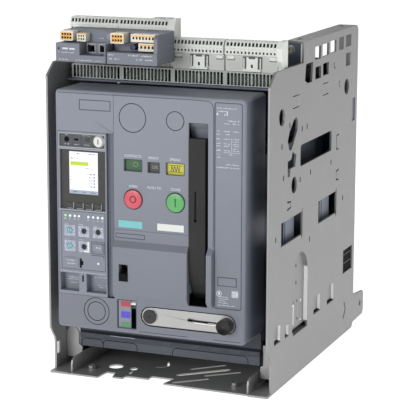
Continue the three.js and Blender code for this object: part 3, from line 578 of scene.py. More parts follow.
def make(name, body, slot, *parts, replaces=(), angle=32):
    """One piece from (shape, finish) pairs: points in mm, faces turned outwards, sharp where the surface
    turns hard."""
    finishes = list(dict.fromkeys(finish for _, finish in parts))
    starts = np.cumsum([0] + [len(shape[0]) for shape, _ in parts])
    points = (np.concatenate([shape[0] for shape, _ in parts]) + (0, EDGE, 0)) * MM
    faces, tones = [], []
    for (shape, finish), start in zip(parts, starts):
        for group in shape[1]:
            faces += (group + start).tolist()
            tones += [finishes.index(finish)] * len(group)
    mesh = bpy.data.meshes.new(name)
    mesh.from_pydata(points, [], faces)
    for finish in finishes:
        mesh.materials.append(finish.material)
    mesh.polygons.foreach_set("material_index", tones)
    mesh.polygons.foreach_set("use_smooth", [True] * len(faces))
    sunk = mesh.attributes.new("sunk", "FLOAT", "POINT")
    sunk.data.foreach_set("value", np.concatenate([shape[2] for shape, _ in parts]))
    tidy = bmesh.new()
    tidy.from_mesh(mesh)
    bmesh.ops.dissolve_degenerate(tidy, dist=1e-6, edges=tidy.edges)
    bmesh.ops.recalc_face_normals(tidy, faces=tidy.faces)
    tidy.to_mesh(mesh)
    tidy.free()
    mesh.set_sharp_from_angle(angle=math.radians(angle))
    piece = add(name, mesh)
    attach(piece, body)
    if replaces:
        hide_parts(*replaces)
    return piece


def dress(finish, *nodes, edge=0.4, turned=False):
    """A CAD node keeps its mesh: it gets its finish, and rounded edges from live modifiers; a turned one
    is smooth."""
    for name in nodes:
        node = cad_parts[name]
        node.data.materials.clear()
        node.data.materials.append(finish.material)
        node.data.polygons.foreach_set("use_smooth", [turned] * len(node.data.polygons))
        weld = node.modifiers.new("weld", "WELD")
        weld.merge_threshold = 0.00002
        bevel = node.modifiers.new("edges", "BEVEL")
        bevel.width = edge * MM
        bevel.segments = 2
        bevel.limit_method = "ANGLE"
        bevel.angle_limit = math.radians(HARD_EDGE)
        bevel.use_clamp_overlap = False
        bevel.harden_normals = turned


def screw(x, y, z, radius, rise, axis="y", sides=6, front=-1):
    """A screw head: a turned cap with a socket, its recess drawn as an inner polygon."""
    steps = [(radius, 0, 0), (radius, rise * 0.6, 0), (radius * 0.86, rise, 0),
             (radius * 0.52, rise, sides), (radius * 0.48, rise * 0.25, sides)]
    return spun([(r, along * front, n) for r, along, n in steps], (x, y, z), axis, 24)


# CAD nodes that keep their shape
dress(COVER, "front_cover", edge=0.35)
dress(UNIT, "trip_unit", edge=0.35)
dress(UNIT, "query_button", edge=0.3)
dress(PLINTH_TWO, "base_plinth", edge=0.6)
dress(HOUSING, "pole_housing", edge=0.7)
dress(CHUTE, "arc_chute_1", "arc_chute_2", "arc_chute_3", edge=0.6)
dress(STEEL, "side_plate_right", "side_plate_left", edge=0.25)
dress(TRAY_STEEL, "base_tray", edge=0.25)
dress(RAIL_STEEL, "rail_right", "rail_left", edge=0.25)
dress(RAIL_PAINT, "top_cross_rail", edge=0.3)
dress(HOUSING, "rear_wall", edge=0.6)
dress(COMB, "contact_comb", edge=0.3)
dress(MODULE, "communication_module_left", "communication_module_right", edge=0.5)
dress(SHUTTER, "shutter_upper", "shutter_lower", edge=0.3)
for n in (1, 2, 3):
    for level in ("upper", "lower"):
        dress(PLATED, f"{level}_main_terminal_{n}", f"{level}_stab_{n}", edge=0.5)
    dress(COPPER, f"moving_contact_{n}", edge=0.5)
dress(SCREW, "main_shaft", "racking_screw", edge=0.4, turned=True)
dress(BLACK, "charging_motor", "closing_coil", "opening_coil", edge=0.6, turned=True)
dress(BLACK, "charging_handle", edge=0.6)
dress(BLACK_AND_GAP_SHADE, "crank_gate", edge=0.6)
dress(TEAL, "setting_dial_1", "setting_dial_4", edge=0.15, turned=True)
dress(KNOB, "setting_dial_2", "setting_dial_3", "setting_dial_5", edge=0.15, turned=True)
dress(IVORY, "key_lock", edge=0.3, turned=True)
dress(RED, "open_button", edge=0.3, turned=True)
dress(GREEN, "close_button", edge=0.3, turned=True)
dress(BRIGHT, "crank_arm", edge=0.4)
dress(KNOB, "crank_grip", edge=0.8, turned=True)
dress(POINTER, "position_pointer", edge=0.15)
dress(FLAG_GREEN, "contact_flag", edge=0.2)
dress(FLAG_DARK, "ready_flag", edge=0.2)
dress(FLAG_YELLOW, "spring_flag", edge=0.2)

# ---- trip unit face -----------------------------------------------------------------------------
SHALLOW = FACE + 2
DEEP = FACE + 4
POCKET = FACE + 12
lock = middle_of("key_lock")
make(
    "trip_unit_strip", "breaker", "dark_grey",
    (panel(-129.2, -80.6, 325.3, 341.7, SHALLOW + 0.1, SHALLOW - 0.3), STRIP),
    (holed(dense(rounded(-80.4, -63.8, 325.3, 341.7, 0.5), 3), lock[0], lock[2], 7.4, SHALLOW + 0.1,
           SHALLOW - 0.3), STRIP),
    (ring(-119.5, 334.4, 4.1, 3.3, SHALLOW - 0.2, SHALLOW - 0.9), KNOB),
    (plate(circle(-119.5, 334.4, 3.25), SHALLOW - 0.2, SHALLOW - 0.45), BLACK_AND_GAP_SHADE),
    (border(-109.5, -101.5, 332.4, 336.6, 0.6, SHALLOW - 0.2, SHALLOW - 0.7), GREY_PRINT_AND_SHADE),
    (panel(-108.8, -102.2, 333.1, 335.9, SHALLOW - 0.2, SHALLOW - 0.4), BLACK_AND_GAP_SHADE),
    (panel(-92.5, -85.5, 332, 337.4, SHALLOW - 0.2, SHALLOW - 0.6), BEZEL),
    (blocks([(x, x + 0.35, SHALLOW - 0.4, SHALLOW - 0.2, 326, 341) for x in (-111.6, -99.2, -96.8)]), LINE),
    (small_print(3, [(-124, -115.5, 327.2), (-109, -101, 327.2), (-94, -86, 327.2), (-121, -116, 339.8),
                     (-96, -91, 339.8), (-89, -85, 339.8)], 1.1, SHALLOW - 0.3), INK),
)
make(
    "lock_collar", "breaker", "light_grey",
    (ring(lock[0], lock[2], 7.8, 7.0, SHALLOW - 0.3, SHALLOW - 1.4, 32), IVORY),
    (panel(-64.6, -62.2, 332.8, 335.6, SHALLOW + 0.2, SHALLOW - 1.2), IVORY),
)

screen_rows = [287.5, 283.3, 279.1, 274.9, 270.7]
keys = [(-122, -111), (-108, -97), (-94.5, -83.5), (-81, -70)]
GLASS = DEEP - 0.6
LIT = GLASS - 0.3
make(
    "trip_unit_display", "breaker", "black",
    (panel(-129.2, -63.3, 240.3, 320.7, DEEP + 0.1, GLASS, 1.0), BEZEL),
    (panel(-117, -75, 261, 318, GLASS + 0.1, LIT, 0.3), SCREEN),
    (panel(-116.7, -75.3, 261.2, 266, LIT + 0.05, LIT - 0.08, 0.2, 0.05), SCREEN_FOOT),
    (panel(-115, -89, 299.5, 304.5, LIT + 0.05, LIT - 0.1, 0.2, 0.05), SCREEN_LIME),
    (small_print(5, [(-114, -103, 308.2), (-93, -88, 295.6), (-106, -101, 314.6), (-88, -79, 314.6)], 1.5,
                 LIT, 0.8), GREY_PRINT_AND_SHADE),
    (small_print(7, [(-88.5, -83, z) for z in screen_rows], 1.6, LIT, 0.8), GREY_PRINT_AND_SHADE),
    (small_print(8, [(-116, -114, z) for z in screen_rows], 1.3, LIT, 0.8), GREY_PRINT_AND_SHADE),
    (blocks([(-81.4, -79.6, LIT - PRINT, LIT, z, z + 1.8) for z in screen_rows]), GREY_PRINT_AND_SHADE),
    (small_print(9, [(-112, -104, 262.6), (-98, -92, 262.6), (-86, -76, 262.6)], 1.5, LIT - 0.1, 0.8),
     GREY_PRINT_AND_SHADE),
    (small_print(4, [(x, x + 2.2, 319.2) for x in (-78, -74.5, -71, -67.5)], 0.9, GLASS, 0.7), GREY_PRINT_AND_SHADE),
    *((panel(x0, x1, 240.8, 248.6, GLASS + 0.1, GLASS - 1.1, 0.8, 0.3), BEZEL) for x0, x1 in keys),
    # painted highlights on the keys' right and lower edges
    (blocks([(x1 - 0.1, x1 + 0.7, GLASS - 1.3, GLASS, 240.6, 248.9) for _, x1 in keys]), EDGE_HIGHLIGHT),
    (blocks([(x0 + 2, x1 + 0.7, GLASS - 1.3, GLASS, 240.2, 241.1) for x0, x1 in keys]), EDGE_HIGHLIGHT),
    *((strokes([(x0 + start, z0, x0 + stop, z1) for x0, _ in keys], 0.8, GLASS - 0.9, GLASS - 1.25), GREY_PRINT_AND_SHADE)
      for start, z0, stop, z1 in ((1.6, 247.4, 5.6, 245.2), (6.2, 244.8, 8, 243.8))),
)

# painted shade: a panel in the shaded plastic stands for the trip unit's right wall in the gap to the cover
make(
    "trip_unit_flange", "breaker", "cover_grey",
    (panel(-60.8, -51.4, 122.9, 345.1, FACE + 9, FACE + 4.2, 0.6, 0.3), UNIT_PAINTED_SHADE),
    (blocks([(-52.4, -51.4, FACE + 3.6, FACE + 5, 123.4, 344.6),
             (-58.2, -57.6, FACE + 4, FACE + 5, 124, 344)]), LINE),
)

leds = [-122, -115, -108, -102, -88, -81, -74, -67.5]
fields = [(-124, -108, 203, 218), (-103, -87, 203, 218), (-81.5, -66, 203, 218), (-124, -108, 182, 197),
          (-103, -87, 182, 197)]
dials = [middle_of(f"setting_dial_{n}") for n in (1, 2, 3, 4, 5)]


def ticks(centre, inner, outer, turn):
    """Marks around a dial: (x, z) plus inner and outer radius times (cos t, sin t) for each angle t."""
    way = np.column_stack([np.cos(turn), np.sin(turn)])
    return np.column_stack([centre[[0, 2]] + inner * way, centre[[0, 2]] + outer * way])


sweep = np.radians(np.linspace(-50, 230, 11))
make(
    "trip_unit_settings", "breaker", "cover_grey",
    *((holed(dense(rounded(*field, 0.4), 3), dial[0], dial[2], 4.3, FACE + 0.1, FACE - 0.25), FIELD)
      for field, dial in zip(fields, dials)),
    (panel(-94.6, -87.1, 182.1, 184.6, FACE - 0.2, FACE - 0.4, 0.2, 0.05), WHITE),
    (panel(-89.8, -87.1, 184.8, 196.9, FACE - 0.2, FACE - 0.4, 0.2, 0.05), WHITE),
    (strokes(np.concatenate([ticks(dial, 4.8, 6.2, sweep) for dial in dials]), 0.35, FACE - 0.2, FACE - 0.4),
     INK_DARK),
    (small_print(11, [(x0 + 0.5, x0 + 7, z1 + 1.2) for x0, _, _, z1 in fields], 1.0, FACE, 0.8), INK),
    *((spun([(1.7, 0.1, 0), (1.6, -0.5, 0), (0.9, -0.9, 0), (0.2, -1.0, 0)], (x, FACE, 231), points=16),
       LED_GREEN if x == -122 else LED_WHITE) for x in leds),
    (small_print(13, [(x - 1.4, x + 1.6, 225.6) for x in leds], 2.0, FACE, 1.1), INK),
    (spun([(1.5, 0.1, 0), (1.4, -0.5, 0), (0.7, -0.9, 0), (0.2, -0.95, 0)], (-74, FACE, 168), points=16),
     LED_WHITE),
    (panel(-124.5, -103, 160.5, 173.5, FACE + 0.1, FACE - 0.7, 0.8, 0.3), UNIT),
    (small_print(15, [(-121, -109, 168.6), (-120, -108, 164.2)], 1.8, FACE - 0.7, 1.0), INK),
    (panel(-101.6, -98.6, 160, 173, FACE + 0.1, FACE - 0.2, 0.6), BLACK_AND_GAP_SHADE),
    (panel(-98.6, -96.4, 164, 170, FACE + 0.1, FACE - 0.2, 0.6), BLACK_AND_GAP_SHADE),
    (border(-84, -64.6, 181, 198, 0.6, FACE + 0.1, FACE - 0.2), LINE),
    (strokes([(-85, 179, -66, 179), (-66, 179, -66, 175)], 0.7, FACE + 0.1, FACE - 0.2), LINE),
    (border(-128.6, -63.6, 157.4, 237.6, 0.6, FACE + 0.1, FACE - 0.15, 1), LINE),
    # painted highlights on the rim and steps of the trip unit's face
    (frame_of(rounded(-130.4, -62.4, 323.4, 343.6, 1), rounded(-129.6, -63.4, 324.6, 342.2, 1), FACE + 0.1,
              FACE - 0.5), EDGE_HIGHLIGHT),
    (blocks([(-131, -62.5, FACE - 0.3, FACE + 0.1, z, z + 0.9) for z in (321.4, 238.4, 153.4)]), EDGE_HIGHLIGHT),
    (small_print(17, [(-124, -107, 142.5), (-125, -108, 139.8), (-121, -111, 135)], 1.3, POCKET, 0.9), INK),
    (small_print(19, [(-84, -64, 148.2), (-86, -66, 145.4), (-81, -64, 134.2), (-79, -64, 131.4)],
                 1.3, POCKET, 0.9), INK),
)
query = middle_of("query_button")
query_row = (query[0] - 3, query[0] + 3.4, query[2] - 1.2)
make(
    "query_button_print", "query_button", "white",
    (small_print(21, [query_row], 2.4, front_of("query_button"), 1.2), INK),
)
LOCK = front_of("key_lock")
make(
    "lock_face", "key_lock", "light_grey",
    (ring(lock[0], lock[2], 5.6, 4.9, LOCK + 0.1, LOCK - 0.35), IVORY),
    # painted shade in the keyhole
    (panel(lock[0] - 0.7, lock[0] + 0.7, lock[2] - 3.2, lock[2] + 3.2, LOCK + 4, LOCK + 2.4, 0.3), BLACK_AND_GAP_SHADE),
)

# ---- cover: words, buttons, windows and label ---------------------------------------------------
words = [
    ("CONTACTS", 4.6, -22.5, 316.6), ("READY", 4.6, 7, 315.8), ("SPRING", 4.6, 37.5, 315.6),
    ("OPEN", 4.8, -22.5, 276), ("PUSH TO", 4.8, 8, 276), ("CLOSE", 4.8, 38, 276),
]
make("cover_words", "breaker", "white", *((word(*entry, FACE), INK) for entry in words))
for side in ("open", "close"):
    middle = middle_of(f"{side}_button")
    crown = front_of(f"{side}_button")
    make(
        f"{side}_button_rim", f"{side}_button", "dark_grey",
        (ring(middle[0], middle[2], 13.2, 12.3, crown + 0.6, crown - 0.05, 40), INK_DARK),
    )
open_at = middle_of("open_button")
close_at = middle_of("close_button")
BUTTON = front_of("open_button") + 0.5
make(
    "open_button_mark", "open_button", "red",
    (ring(open_at[0], open_at[2], 5.2, 3.4, BUTTON + 0.1, BUTTON - 0.2), MARK_RED),
)
make(
    "close_button_mark", "close_button", "green",
    (panel(close_at[0] - 0.7, close_at[0] + 0.7, close_at[2] - 5.3, close_at[2] + 5.3,
           BUTTON + 0.1, BUTTON - 0.2, 0.3, 0.1), MARK_GREEN),
)
make(
    "name_plates", "breaker", "white",
    (panel(-44, -9, 221.2, 231, FACE + 0.2, FACE - 0.6, 0.6, 0.25), TEAL),
    (panel(12, 50, 221.2, 230.6, FACE + 0.2, FACE - 0.6, 0.6, 0.25), WHITE),
)
windows = ((-35, -10, 298, 313), (-1, 15, 298, 311), (25, 50, 297, 312))
make(
    "window_frames", "breaker", "dark_grey",
    *((frame_of(rounded(x0 - 0.7, x1 + 0.7, z0 - 0.7, z1 + 0.7, 0.8), rounded(x0, x1, z0, z1, 0.5),
                FACE + 0.2, FACE - 0.3), LINE) for x0, x1, z0, z1 in windows),
)
make(
    "contact_flag_mark", "contact_flag", "white",
    (ring(-20, 306.4, 3.4, 2.8, FLAG + 0.1, FLAG - PRINT), FAINT),
)
make("ready_flag_mark", "ready_flag", "white", (word("OK", 6.4, 7.6, 302.4, FLAG - PRINT / 2), FAINT))
coil = np.array([(30, 301), (31.5, 308), (33.5, 301), (35.5, 308), (37.5, 301), (39.5, 308),
                 (41.5, 301), (43, 308)])
make(
    "spring_flag_mark", "spring_flag", "dark_grey",
    (strokes(path(coil), 0.8, FLAG, FLAG - PRINT), INK_DARK),
    (strokes([(28, 300.4, 46, 300.4), (28, 308.8, 46, 308.8)], 0.7, FLAG, FLAG - PRINT), INK_DARK),
)

groove = np.array([(-131, 397), (60, 397), (84, 396.4), (89, 393), (91, 387), (91, 205)])
make(
    "cover_grooves", "breaker", "dark_grey",
    # painted shade in the round grooves
    *((ring(x, z, radius, radius - 0.8, FACE + 0.6, FACE + 0.15, 40), BLACK_AND_GAP_SHADE)
      for x, z, radius in ((-23, 368.5, 19.5), (37.5, 368, 12.8), (-77.5, 102, 19), (-77.5, 102, 13.5))),
    *((border(x0, x1, z0, z1, 0.8, FACE + 0.6, FACE + 0.15, 0.1), LINE)
      for x0, x1, z0, z1 in ((-100, -54.5, 375, 389), (-48, -6, 206.5, 213))),
    (strokes(path(groove), 0.8, FACE + 0.1, FACE - 0.1), LINE),
    (strokes([(-15, 80, 54, 80), (92, 80, 130, 80)], 0.8, FACE + 0.1, FACE - 0.1), LINE),
    (border(92.2, 130.8, 123.2, 395.8, 1, FACE + 0.1, FACE - 0.12, 3, 2.2), LINE),
    # painted shade in the gap round the crank's recess
    (border(-12.6, 123.6, 88.9, 116.1, 1.2, FACE + 0.1, FACE - 0.12, 13.6, 12.4), BLACK_AND_GAP_SHADE),
)
LABEL = FACE + 0.6
columns = (
    (31, 94.5, 100.5, (358, 354, 348, 342, 339, 333, 328, 324)),
    (33, 105, 113.5, (368, 358, 354, 348, 342, 339, 333)),
    (35, 117.5, 126, (368, 358, 348, 345, 342, 339, 336, 333)),
)
make(
    "label_print", "breaker", "white",
    *((small_print(seed, [(x0, x1, z) for z in heights], 1.5, LABEL, 1.0), INK)
      for seed, x0, x1, heights in columns),
    (small_print(37, [(96, 124, 387.6), (96, 112, 383.6), (110, 126, 371.6), (94.5, 127, 310.6),
                      (108, 126, 314.6), (112, 120, 328)], 1.6, LABEL, 1.0), INK),
    (small_print(43, [(95, 103, 379), (105.5, 112, 379)], 4.6, LABEL, 2.4), INK),
    (ring(99.2, 143.7, 3.8, 3.2, LABEL + 0.1, LABEL - PRINT, 24), INK),
    (panel(98, 100.4, 142, 146, LABEL + 0.1, LABEL - PRINT, 0.5, 0.05), INK),
    (panel(116.8, 126, 140, 148.8, LABEL + 0.1, LABEL - PRINT, 0.3, 0.05), CODE),
    (strokes([(115.8, 332, 115.8, 350), (104.5, 331.2, 127, 331.2)], 0.4, LABEL, LABEL - PRINT), INK),
    (border(97, 123.5, 154, 166, 0.5, LABEL + 0.1, LABEL - PRINT, 0.8, 0.5), LINE),
    (small_print(39, [(98, 112, 139), (98, 112, 136.4), (98, 109, 133.8), (98, 112, 131.2), (98, 122, 127.8)],
                 1.1, LABEL, 0.8), INK),
)

# painted shade: a dark block in the gap behind the cover's top
make("cover_back_gap_shade", "breaker", "dark_grey", (blocks([(-130, 130, 49, 51.9, 401, 402.7)]), BLACK_AND_GAP_SHADE))

# ---- charging handle: painted shadow in its slit, and the finger scoop above it in painted shade ---
HANDLE = front_of("charging_handle")
make(
    "handle_slit_shadow", "charging_handle", "black",
    # painted shadow inside the slit
    *((panel(*box, HANDLE + 0.3, HANDLE + 0.02, 0.5, 0.1), BLACK_AND_GAP_SHADE)
      for box in ((65.4, 68.6, 238, 278), (65.4, 71.4, 236.2, 239.6))),
)
scoop_sides = (low("charging_handle")[0] + 3.4, high("charging_handle")[0] - 3.4)
inwards = np.linspace(0, 1, 9)
curve = np.column_stack([FACE + 0.3 + 22 * inwards, 366.6 - 18 * inwards ** 2])
scoop = np.vstack([curve, [(FACE + 22.3, 366.6)]])
make(
    "handle_scoop", "breaker", "cover_grey",
    (loft([np.column_stack([np.full(len(scoop), x), scoop]) for x in scoop_sides]), SCOOP),
)

# ---- position window ----------------------------------------------------------------------------
NICHE = FACE + 1.5
make(
    "position_scale", "breaker", "white",
    (panel(-46.2, -27.6, 83.2, 120.8, NICHE + 0.2, NICHE - 0.15, 0.3, 0.05), UNIT),
    # painted shade along the window's left edge
    (panel(-46.3, -45.5, 83.2, 120.8, NICHE + 0.2, NICHE - 0.3, 0.3, 0.05), BLACK_AND_GAP_SHADE),
    (panel(-42, -28.3, 112.4, 119.6, NICHE + 0.2, NICHE - 0.5, 0.5), POS_RED),
    (panel(-41.6, -28.3, 96.6, 105.4, NICHE + 0.2, NICHE - 0.5, 0.5), POS_BLUE),
    (panel(-42, -28.3, 84.2, 90.6, NICHE + 0.2, NICHE - 0.5, 0.5), POS_GREEN),
    (frame_of(rounded(-47, -18.6, 82, 122, 1.2), rounded(-46.2, -19.2, 83, 121, 0.8), FACE + 0.1,
              FACE - 0.15), LINE),
    (small_print(41, [(-45.8, -43.2, 115), (-45.8, -43.2, 100), (-45.8, -43.2, 86.4)], 1.6, NICHE, 0.9), INK),
)

# ---- crank: painted shadow and highlight at its slot, the cap on its hub and the rim of its grip ---
ARM = front_of("crank_arm")
hub = (low("crank_arm")[0] + 12.4, ARM, 102.5)
make(
    "crank_slot_shadow", "crank", "black",
    (strokes([(55.5, 103.6, 62.5, 103.2)], 3.2, ARM + 0.1, ARM - 0.08), BLACK_AND_GAP_SHADE),
    (strokes([(62, 103.2, 84, 102.4)], 1.5, ARM + 0.1, ARM - 0.06), BLACK_AND_GAP_SHADE),
    # painted highlight along the slot's lower edge
    (strokes([(65, 100.9, 97, 99.9)], 0.8, ARM + 0.1, ARM - 0.06), GLINT),
)
make(
    "crank_hub_cap", "crank", "black",
    (spun([(9.6, 0.2, 0), (9.6, -0.6, 0), (9.1, -1.1, 0), (0.3, -1.1, 0)], hub, points=32), KNOB),
    (spun([(1.6, -1.0, 0), (1.6, -1.3, 0), (1.1, -1.5, 0), (0.2, -1.5, 0)], hub, points=16), BLACK),
)
grip = middle_of("crank_grip")
GRIP = front_of("crank_grip")
make(
    "crank_grip_cap", "crank_grip", "black",
    (ring(grip[0], grip[2], 7.6, 6.9, GRIP + 0.3, GRIP + 0.06, 32), BLACK),
)


# ---- auxiliary terminal blocks ------------------------------------------------------------------
def terminal_block(name, cap=0):
    """A block's side outline carried along X: inside each wire entry the outline steps in square to its face.
    Row 1 of the outline is the slanted entries, row 2 the test holes, row 3 the marker dots. A cap of that
    width may close the right end."""
    x0, right = low(name)[0], high(name)[0]
    x1 = right - cap
    floor = low(name)[2]
    front = front_of(name)
    top = high(name)[2]
    if cap:
        front, top = front + 1.5, top - 1.5
    face, head = front + 1.5, top - 18.5
    back = high(name)[1] - EDGE
    slope = np.array([3.3, 6.8])
    slope_in = np.array([8.5, -slope[0]]) / np.hypot(*slope)

    def along(share):
        """The point at a share of the way up the slanted row."""
        return np.array([front, head + 10]) + share * slope

    outline = [
        (back, floor, 0), (face + 2, floor, 0), (face + 2, head - 1, 0), (front, head, 0),
        (front, head + 1.9, 0), (front, head + 1.94, 2), (front, head + 4.9, 2), (front, head + 4.94, 0),
        (front, head + 7.4, 0), (front, head + 7.44, 3), (front, head + 8.6, 3), (front, head + 8.64, 0),
        (front, head + 10, 0), (*along(0.24), 0), (*along(0.245), 1), (*along(0.95), 1), (*along(0.955), 0),
        (*along(1), 0), (face + 4, top, 0), (back, top, 0),
    ]
    y, z, row = (np.array(column, float) for column in zip(*outline))
    inward = np.where((row == 1)[:, None], slope_in, (1.0, 0.0))
    pitch = (x1 - x0 - 1.6) / WAY_COUNT
    middle = x0 + 0.8 + pitch * (np.arange(WAY_COUNT) + 0.5)
    offset = np.array([-1.64, -1.6, -1.24, -1.2, 1.2, 1.24, 1.6, 1.64])
    xs = np.concatenate([[x0], (middle[:, None] + offset).ravel(), [x1]])
    wide = np.concatenate([[0], np.tile([0, 1, 1, 1, 1, 1, 1, 0], WAY_COUNT), [0]])[:, None]
    narrow = np.concatenate([[0], np.tile([0, 0, 0, 1, 1, 0, 0, 0], WAY_COUNT), [0]])[:, None]
    step = 6.0 * wide * (row == 1) + 5.0 * narrow * (row == 2) + 0.5 * narrow * (row == 3)
    rings = np.stack([
        np.broadcast_to(xs[:, None], step.shape), y + step * inward[:, 0], z + step * inward[:, 1],
    ], -1)
    points, faces, sunk = loft(rings)
    sunk[:step.size] = (np.minimum(step, 5.0) / 5.0).ravel()
    parts = [
        ((points, faces, sunk), WAYS),
        (panel(x0 + 0.4, x1 - 0.4, floor + 0.3, head - 1.4, face + 2.3, face + 1.8, 0.4, 0.1), BLOCK_FOOT),
    ]
    if cap:
        ends = np.array([
            (face + 4, floor), (back, floor), (back, head + 20), (face + 3, head + 20), (face - 3, head + 11),
            (face - 3, head - 6), (face + 4, head - 16),
        ])
        widths = [(x1 + 0.1, 0.6), (x1 + 0.6, 0), (right - 0.8, 0), (right, 0.8)]
        rings = [np.column_stack([np.full(7, x), *inset(ends, draw).T]) for x, draw in widths]
        parts.append((loft(rings), CLIP))
    return make(name + "_ways", "guide_frame", "light_grey", *parts, replaces=(name,))


terminal_block("terminal_block_1")
terminal_block("terminal_block_2", cap=10)
terminal_block("terminal_block_3")
terminal_block("terminal_block_4", cap=8)

FOOT = front_of("contact_comb") + 2


def block_clip(x):
    """A snap-on clip: its leaf, two side arms, the bar at its foot, and two studs beside it; painted
    shadow lies round the leaf and under the bar and the studs.
    """
    arms = (x - 12.2, x + 10.6)
    studs = (x - 35.5, x + 23.5)
    return [
        # painted shadow round the leaf
        (panel(x - 13.6, x + 13.6, 430, 446, FOOT + 0.2, FOOT - 0.45, 0.8, 0.1), GREY_PRINT_AND_SHADE),
        (panel(x - 8, x + 8, 429, 445.2, FOOT + 0.3, FOOT - 2.8, 0.8, 0.4), CLIP),
        # painted shadow under the bar
        (panel(x - 12, x + 12, 425.4, 426.6, FOOT + 0.2, FOOT - 0.5, 0.3, 0.1), BLACK_AND_GAP_SHADE),
        (panel(x - 4.5, x + 4.5, 443, 446, FOOT - 2.6, FOOT - 3.0, 0.4), GREY_PRINT_AND_SHADE),
        # painted shade in the leaf's hole
        (panel(x - 1.3, x + 1.3, 431, 436, FOOT - 2.7, FOOT - 2.95, 1.2), BLACK_AND_GAP_SHADE),
        (panel(x - 12.4, x + 12.4, 426.2, 429.6, FOOT + 0.3, FOOT - 4.0, 0.8, 0.5), CLIP),
        *((panel(arm, arm + 1.6, 429.8, 444, FOOT + 0.3, FOOT - 2.4, 0.6, 0.3), CLIP) for arm in arms),
        # painted shadow under the studs
        *((panel(at, at + 10.5, 440.2, 442, FOOT + 0.3, FOOT - 0.5, 0.6, 0.1), GREY_PRINT_AND_SHADE) for at in studs),
        *((panel(at, at + 10.5, 441.2, 446, FOOT + 0.3, FOOT - 1.8, 2.2, 0.8), CLIP) for at in studs),
    ]


make("block_clips", "guide_frame", "light_grey", *block_clip(38), *block_clip(113))

# ---- comb under the blocks ----------------------------------------------------------------------
COMB_FACE = front_of("contact_comb")
comb_foot, comb_head = low("contact_comb")[2], high("contact_comb")[2]
centres = np.array([-112.5, -37.5, 37.5, 112.5])
slot_row = (np.arange(WAY_COUNT) - (WAY_COUNT - 1) / 2) * SLOT_PITCH
slots = np.add.outer(centres, slot_row).ravel()
outer = np.add.outer(centres, slot_row[[0, -1]]).ravel()
teeth = np.add.outer(centres, (slot_row[:-1] + slot_row[1:]) / 2).ravel()


def comb_bars(middles, half, front, back, foot, head):
    """Upright bars of one size: each reaches half a width to both sides of its middle."""
    count = len(middles)
    return blocks(np.column_stack([
        middles - half, middles + half, np.full(count, front), np.full(count, back), np.full(count, foot),
        np.full(count, head),
    ]))


make(
    "comb_teeth", "guide_frame", "light_grey",
    # near-black bars: painted shade in the comb's slots
    (comb_bars(outer, 1.6, COMB_FACE - 0.1, COMB_FACE + 0.3, comb_foot + 1.3, comb_head - 1.8), BLACK_AND_GAP_SHADE),
    (comb_bars(teeth, 0.75, COMB_FACE + 0.05, COMB_FACE + 9, comb_foot + 2.9, comb_head - 3.9), COMB),
    (comb_bars(slots, 1.6, COMB_FACE - 0.1, COMB_FACE + 0.3, comb_foot + 1.3, comb_foot + 3.1), BLACK_AND_GAP_SHADE),
    (comb_bars(slots, 1.6, COMB_FACE - 0.1, COMB_FACE + 0.3, comb_head - 4.1, comb_head - 1.8), BLACK_AND_GAP_SHADE),
)

# ---- communication modules ----------------------------------------------------------------------
WALL = 24.0                 # the step in the modules' face, which their plugs stand on


def plug(x0, x1, z0, z1, front, across, up, hole, grid=None):
    """A spring-terminal plug: its cream body, and the bank of entries in its face, which may be another
    colour."""
    if not grid:
        return [(bank(x0, x1, z0, z1, WALL + 1, front, across, up, hole, 3.2, 1.4), CREAM)]
    rim = border(x0, x1, z0, z1, 1.6, front + 4, front, 0.9, 0.3)
    return [
        (panel(x0, x1, z0, z1, WALL + 1, front + 3.6, 0.9, 0.1), CREAM), (rim, CREAM),
        (bank(x0 + 1.5, x1 - 1.5, z0 + 1.5, z1 - 1.5, front + 3.8, front + 0.3, across, up, hole, 3.0, 0.2),
         grid),
    ]


SOCKETS = (-101, -83)
make(
    "module_plugs_left", "guide_frame", "white",
    *plug(-141, -122, 462.4, 475, 7, 4, 2, (2.6, 2.6), grid=ORANGE),
    *plug(-118, -105, 461.6, 472.4, 11, 3, 2, (2.0, 2.2)),
    (blocks([(-117.2, -105.8, 10.7, 12, 471.2, 472.6)]), ORANGE),
    # painted highlight on the sockets' rims
    *((frame_of(rounded(x - 6.6, x + 6.6, 446.2, 458.4, 0.8), rounded(x - 5.2, x + 5.2, 447.3, 456.7, 0.6),
                20.2, 19.2), EDGE_HIGHLIGHT) for x in SOCKETS),
    # painted shade inside the sockets
    *((panel(x - 4.6, x + 4.6, 448, 456, 32.6, 31.6, 0.4), BLACK_AND_GAP_SHADE) for x in SOCKETS),
    *((panel(x - 2.2, x + 2.2, 446.9, 448.4, 32, 20.4, 0.3), BLACK_AND_GAP_SHADE) for x in SOCKETS),
    (blocks([(x - 3.2 + n * 0.8, x - 2.9 + n * 0.8, 22, 31, 455.2, 455.7)
             for x in SOCKETS for n in range(9)]), SCREW),
)
make(
    "module_plugs_right", "guide_frame", "white",
    *plug(-67, -48, 461.4, 475, 7, 4, 2, (2.6, 2.6), grid=ORANGE),
    *plug(-38, -2.8, 464.6, 474.6, 8, 7, 1, (2.6, 3.4)),
    (blocks([(-37, -4, 7.7, 9, 471.6, 473.2)]), ORANGE),
    *plug(-27, -2.8, 452.6, 463, 8, 4, 1, (3.0, 3.6)),
    (blocks([(-26, -5, 7.7, 9, 460, 461.6)]), ORANGE),
    (spun([(4.2, 24.2, 0), (4.2, 9, 0), (3.7, 8.2, 0), (2.6, 8.2, 0), (2.4, 8.8, 0), (0.2, 8.8, 0)],
          (-35.6, 0, 457), points=24), BLUE),
)
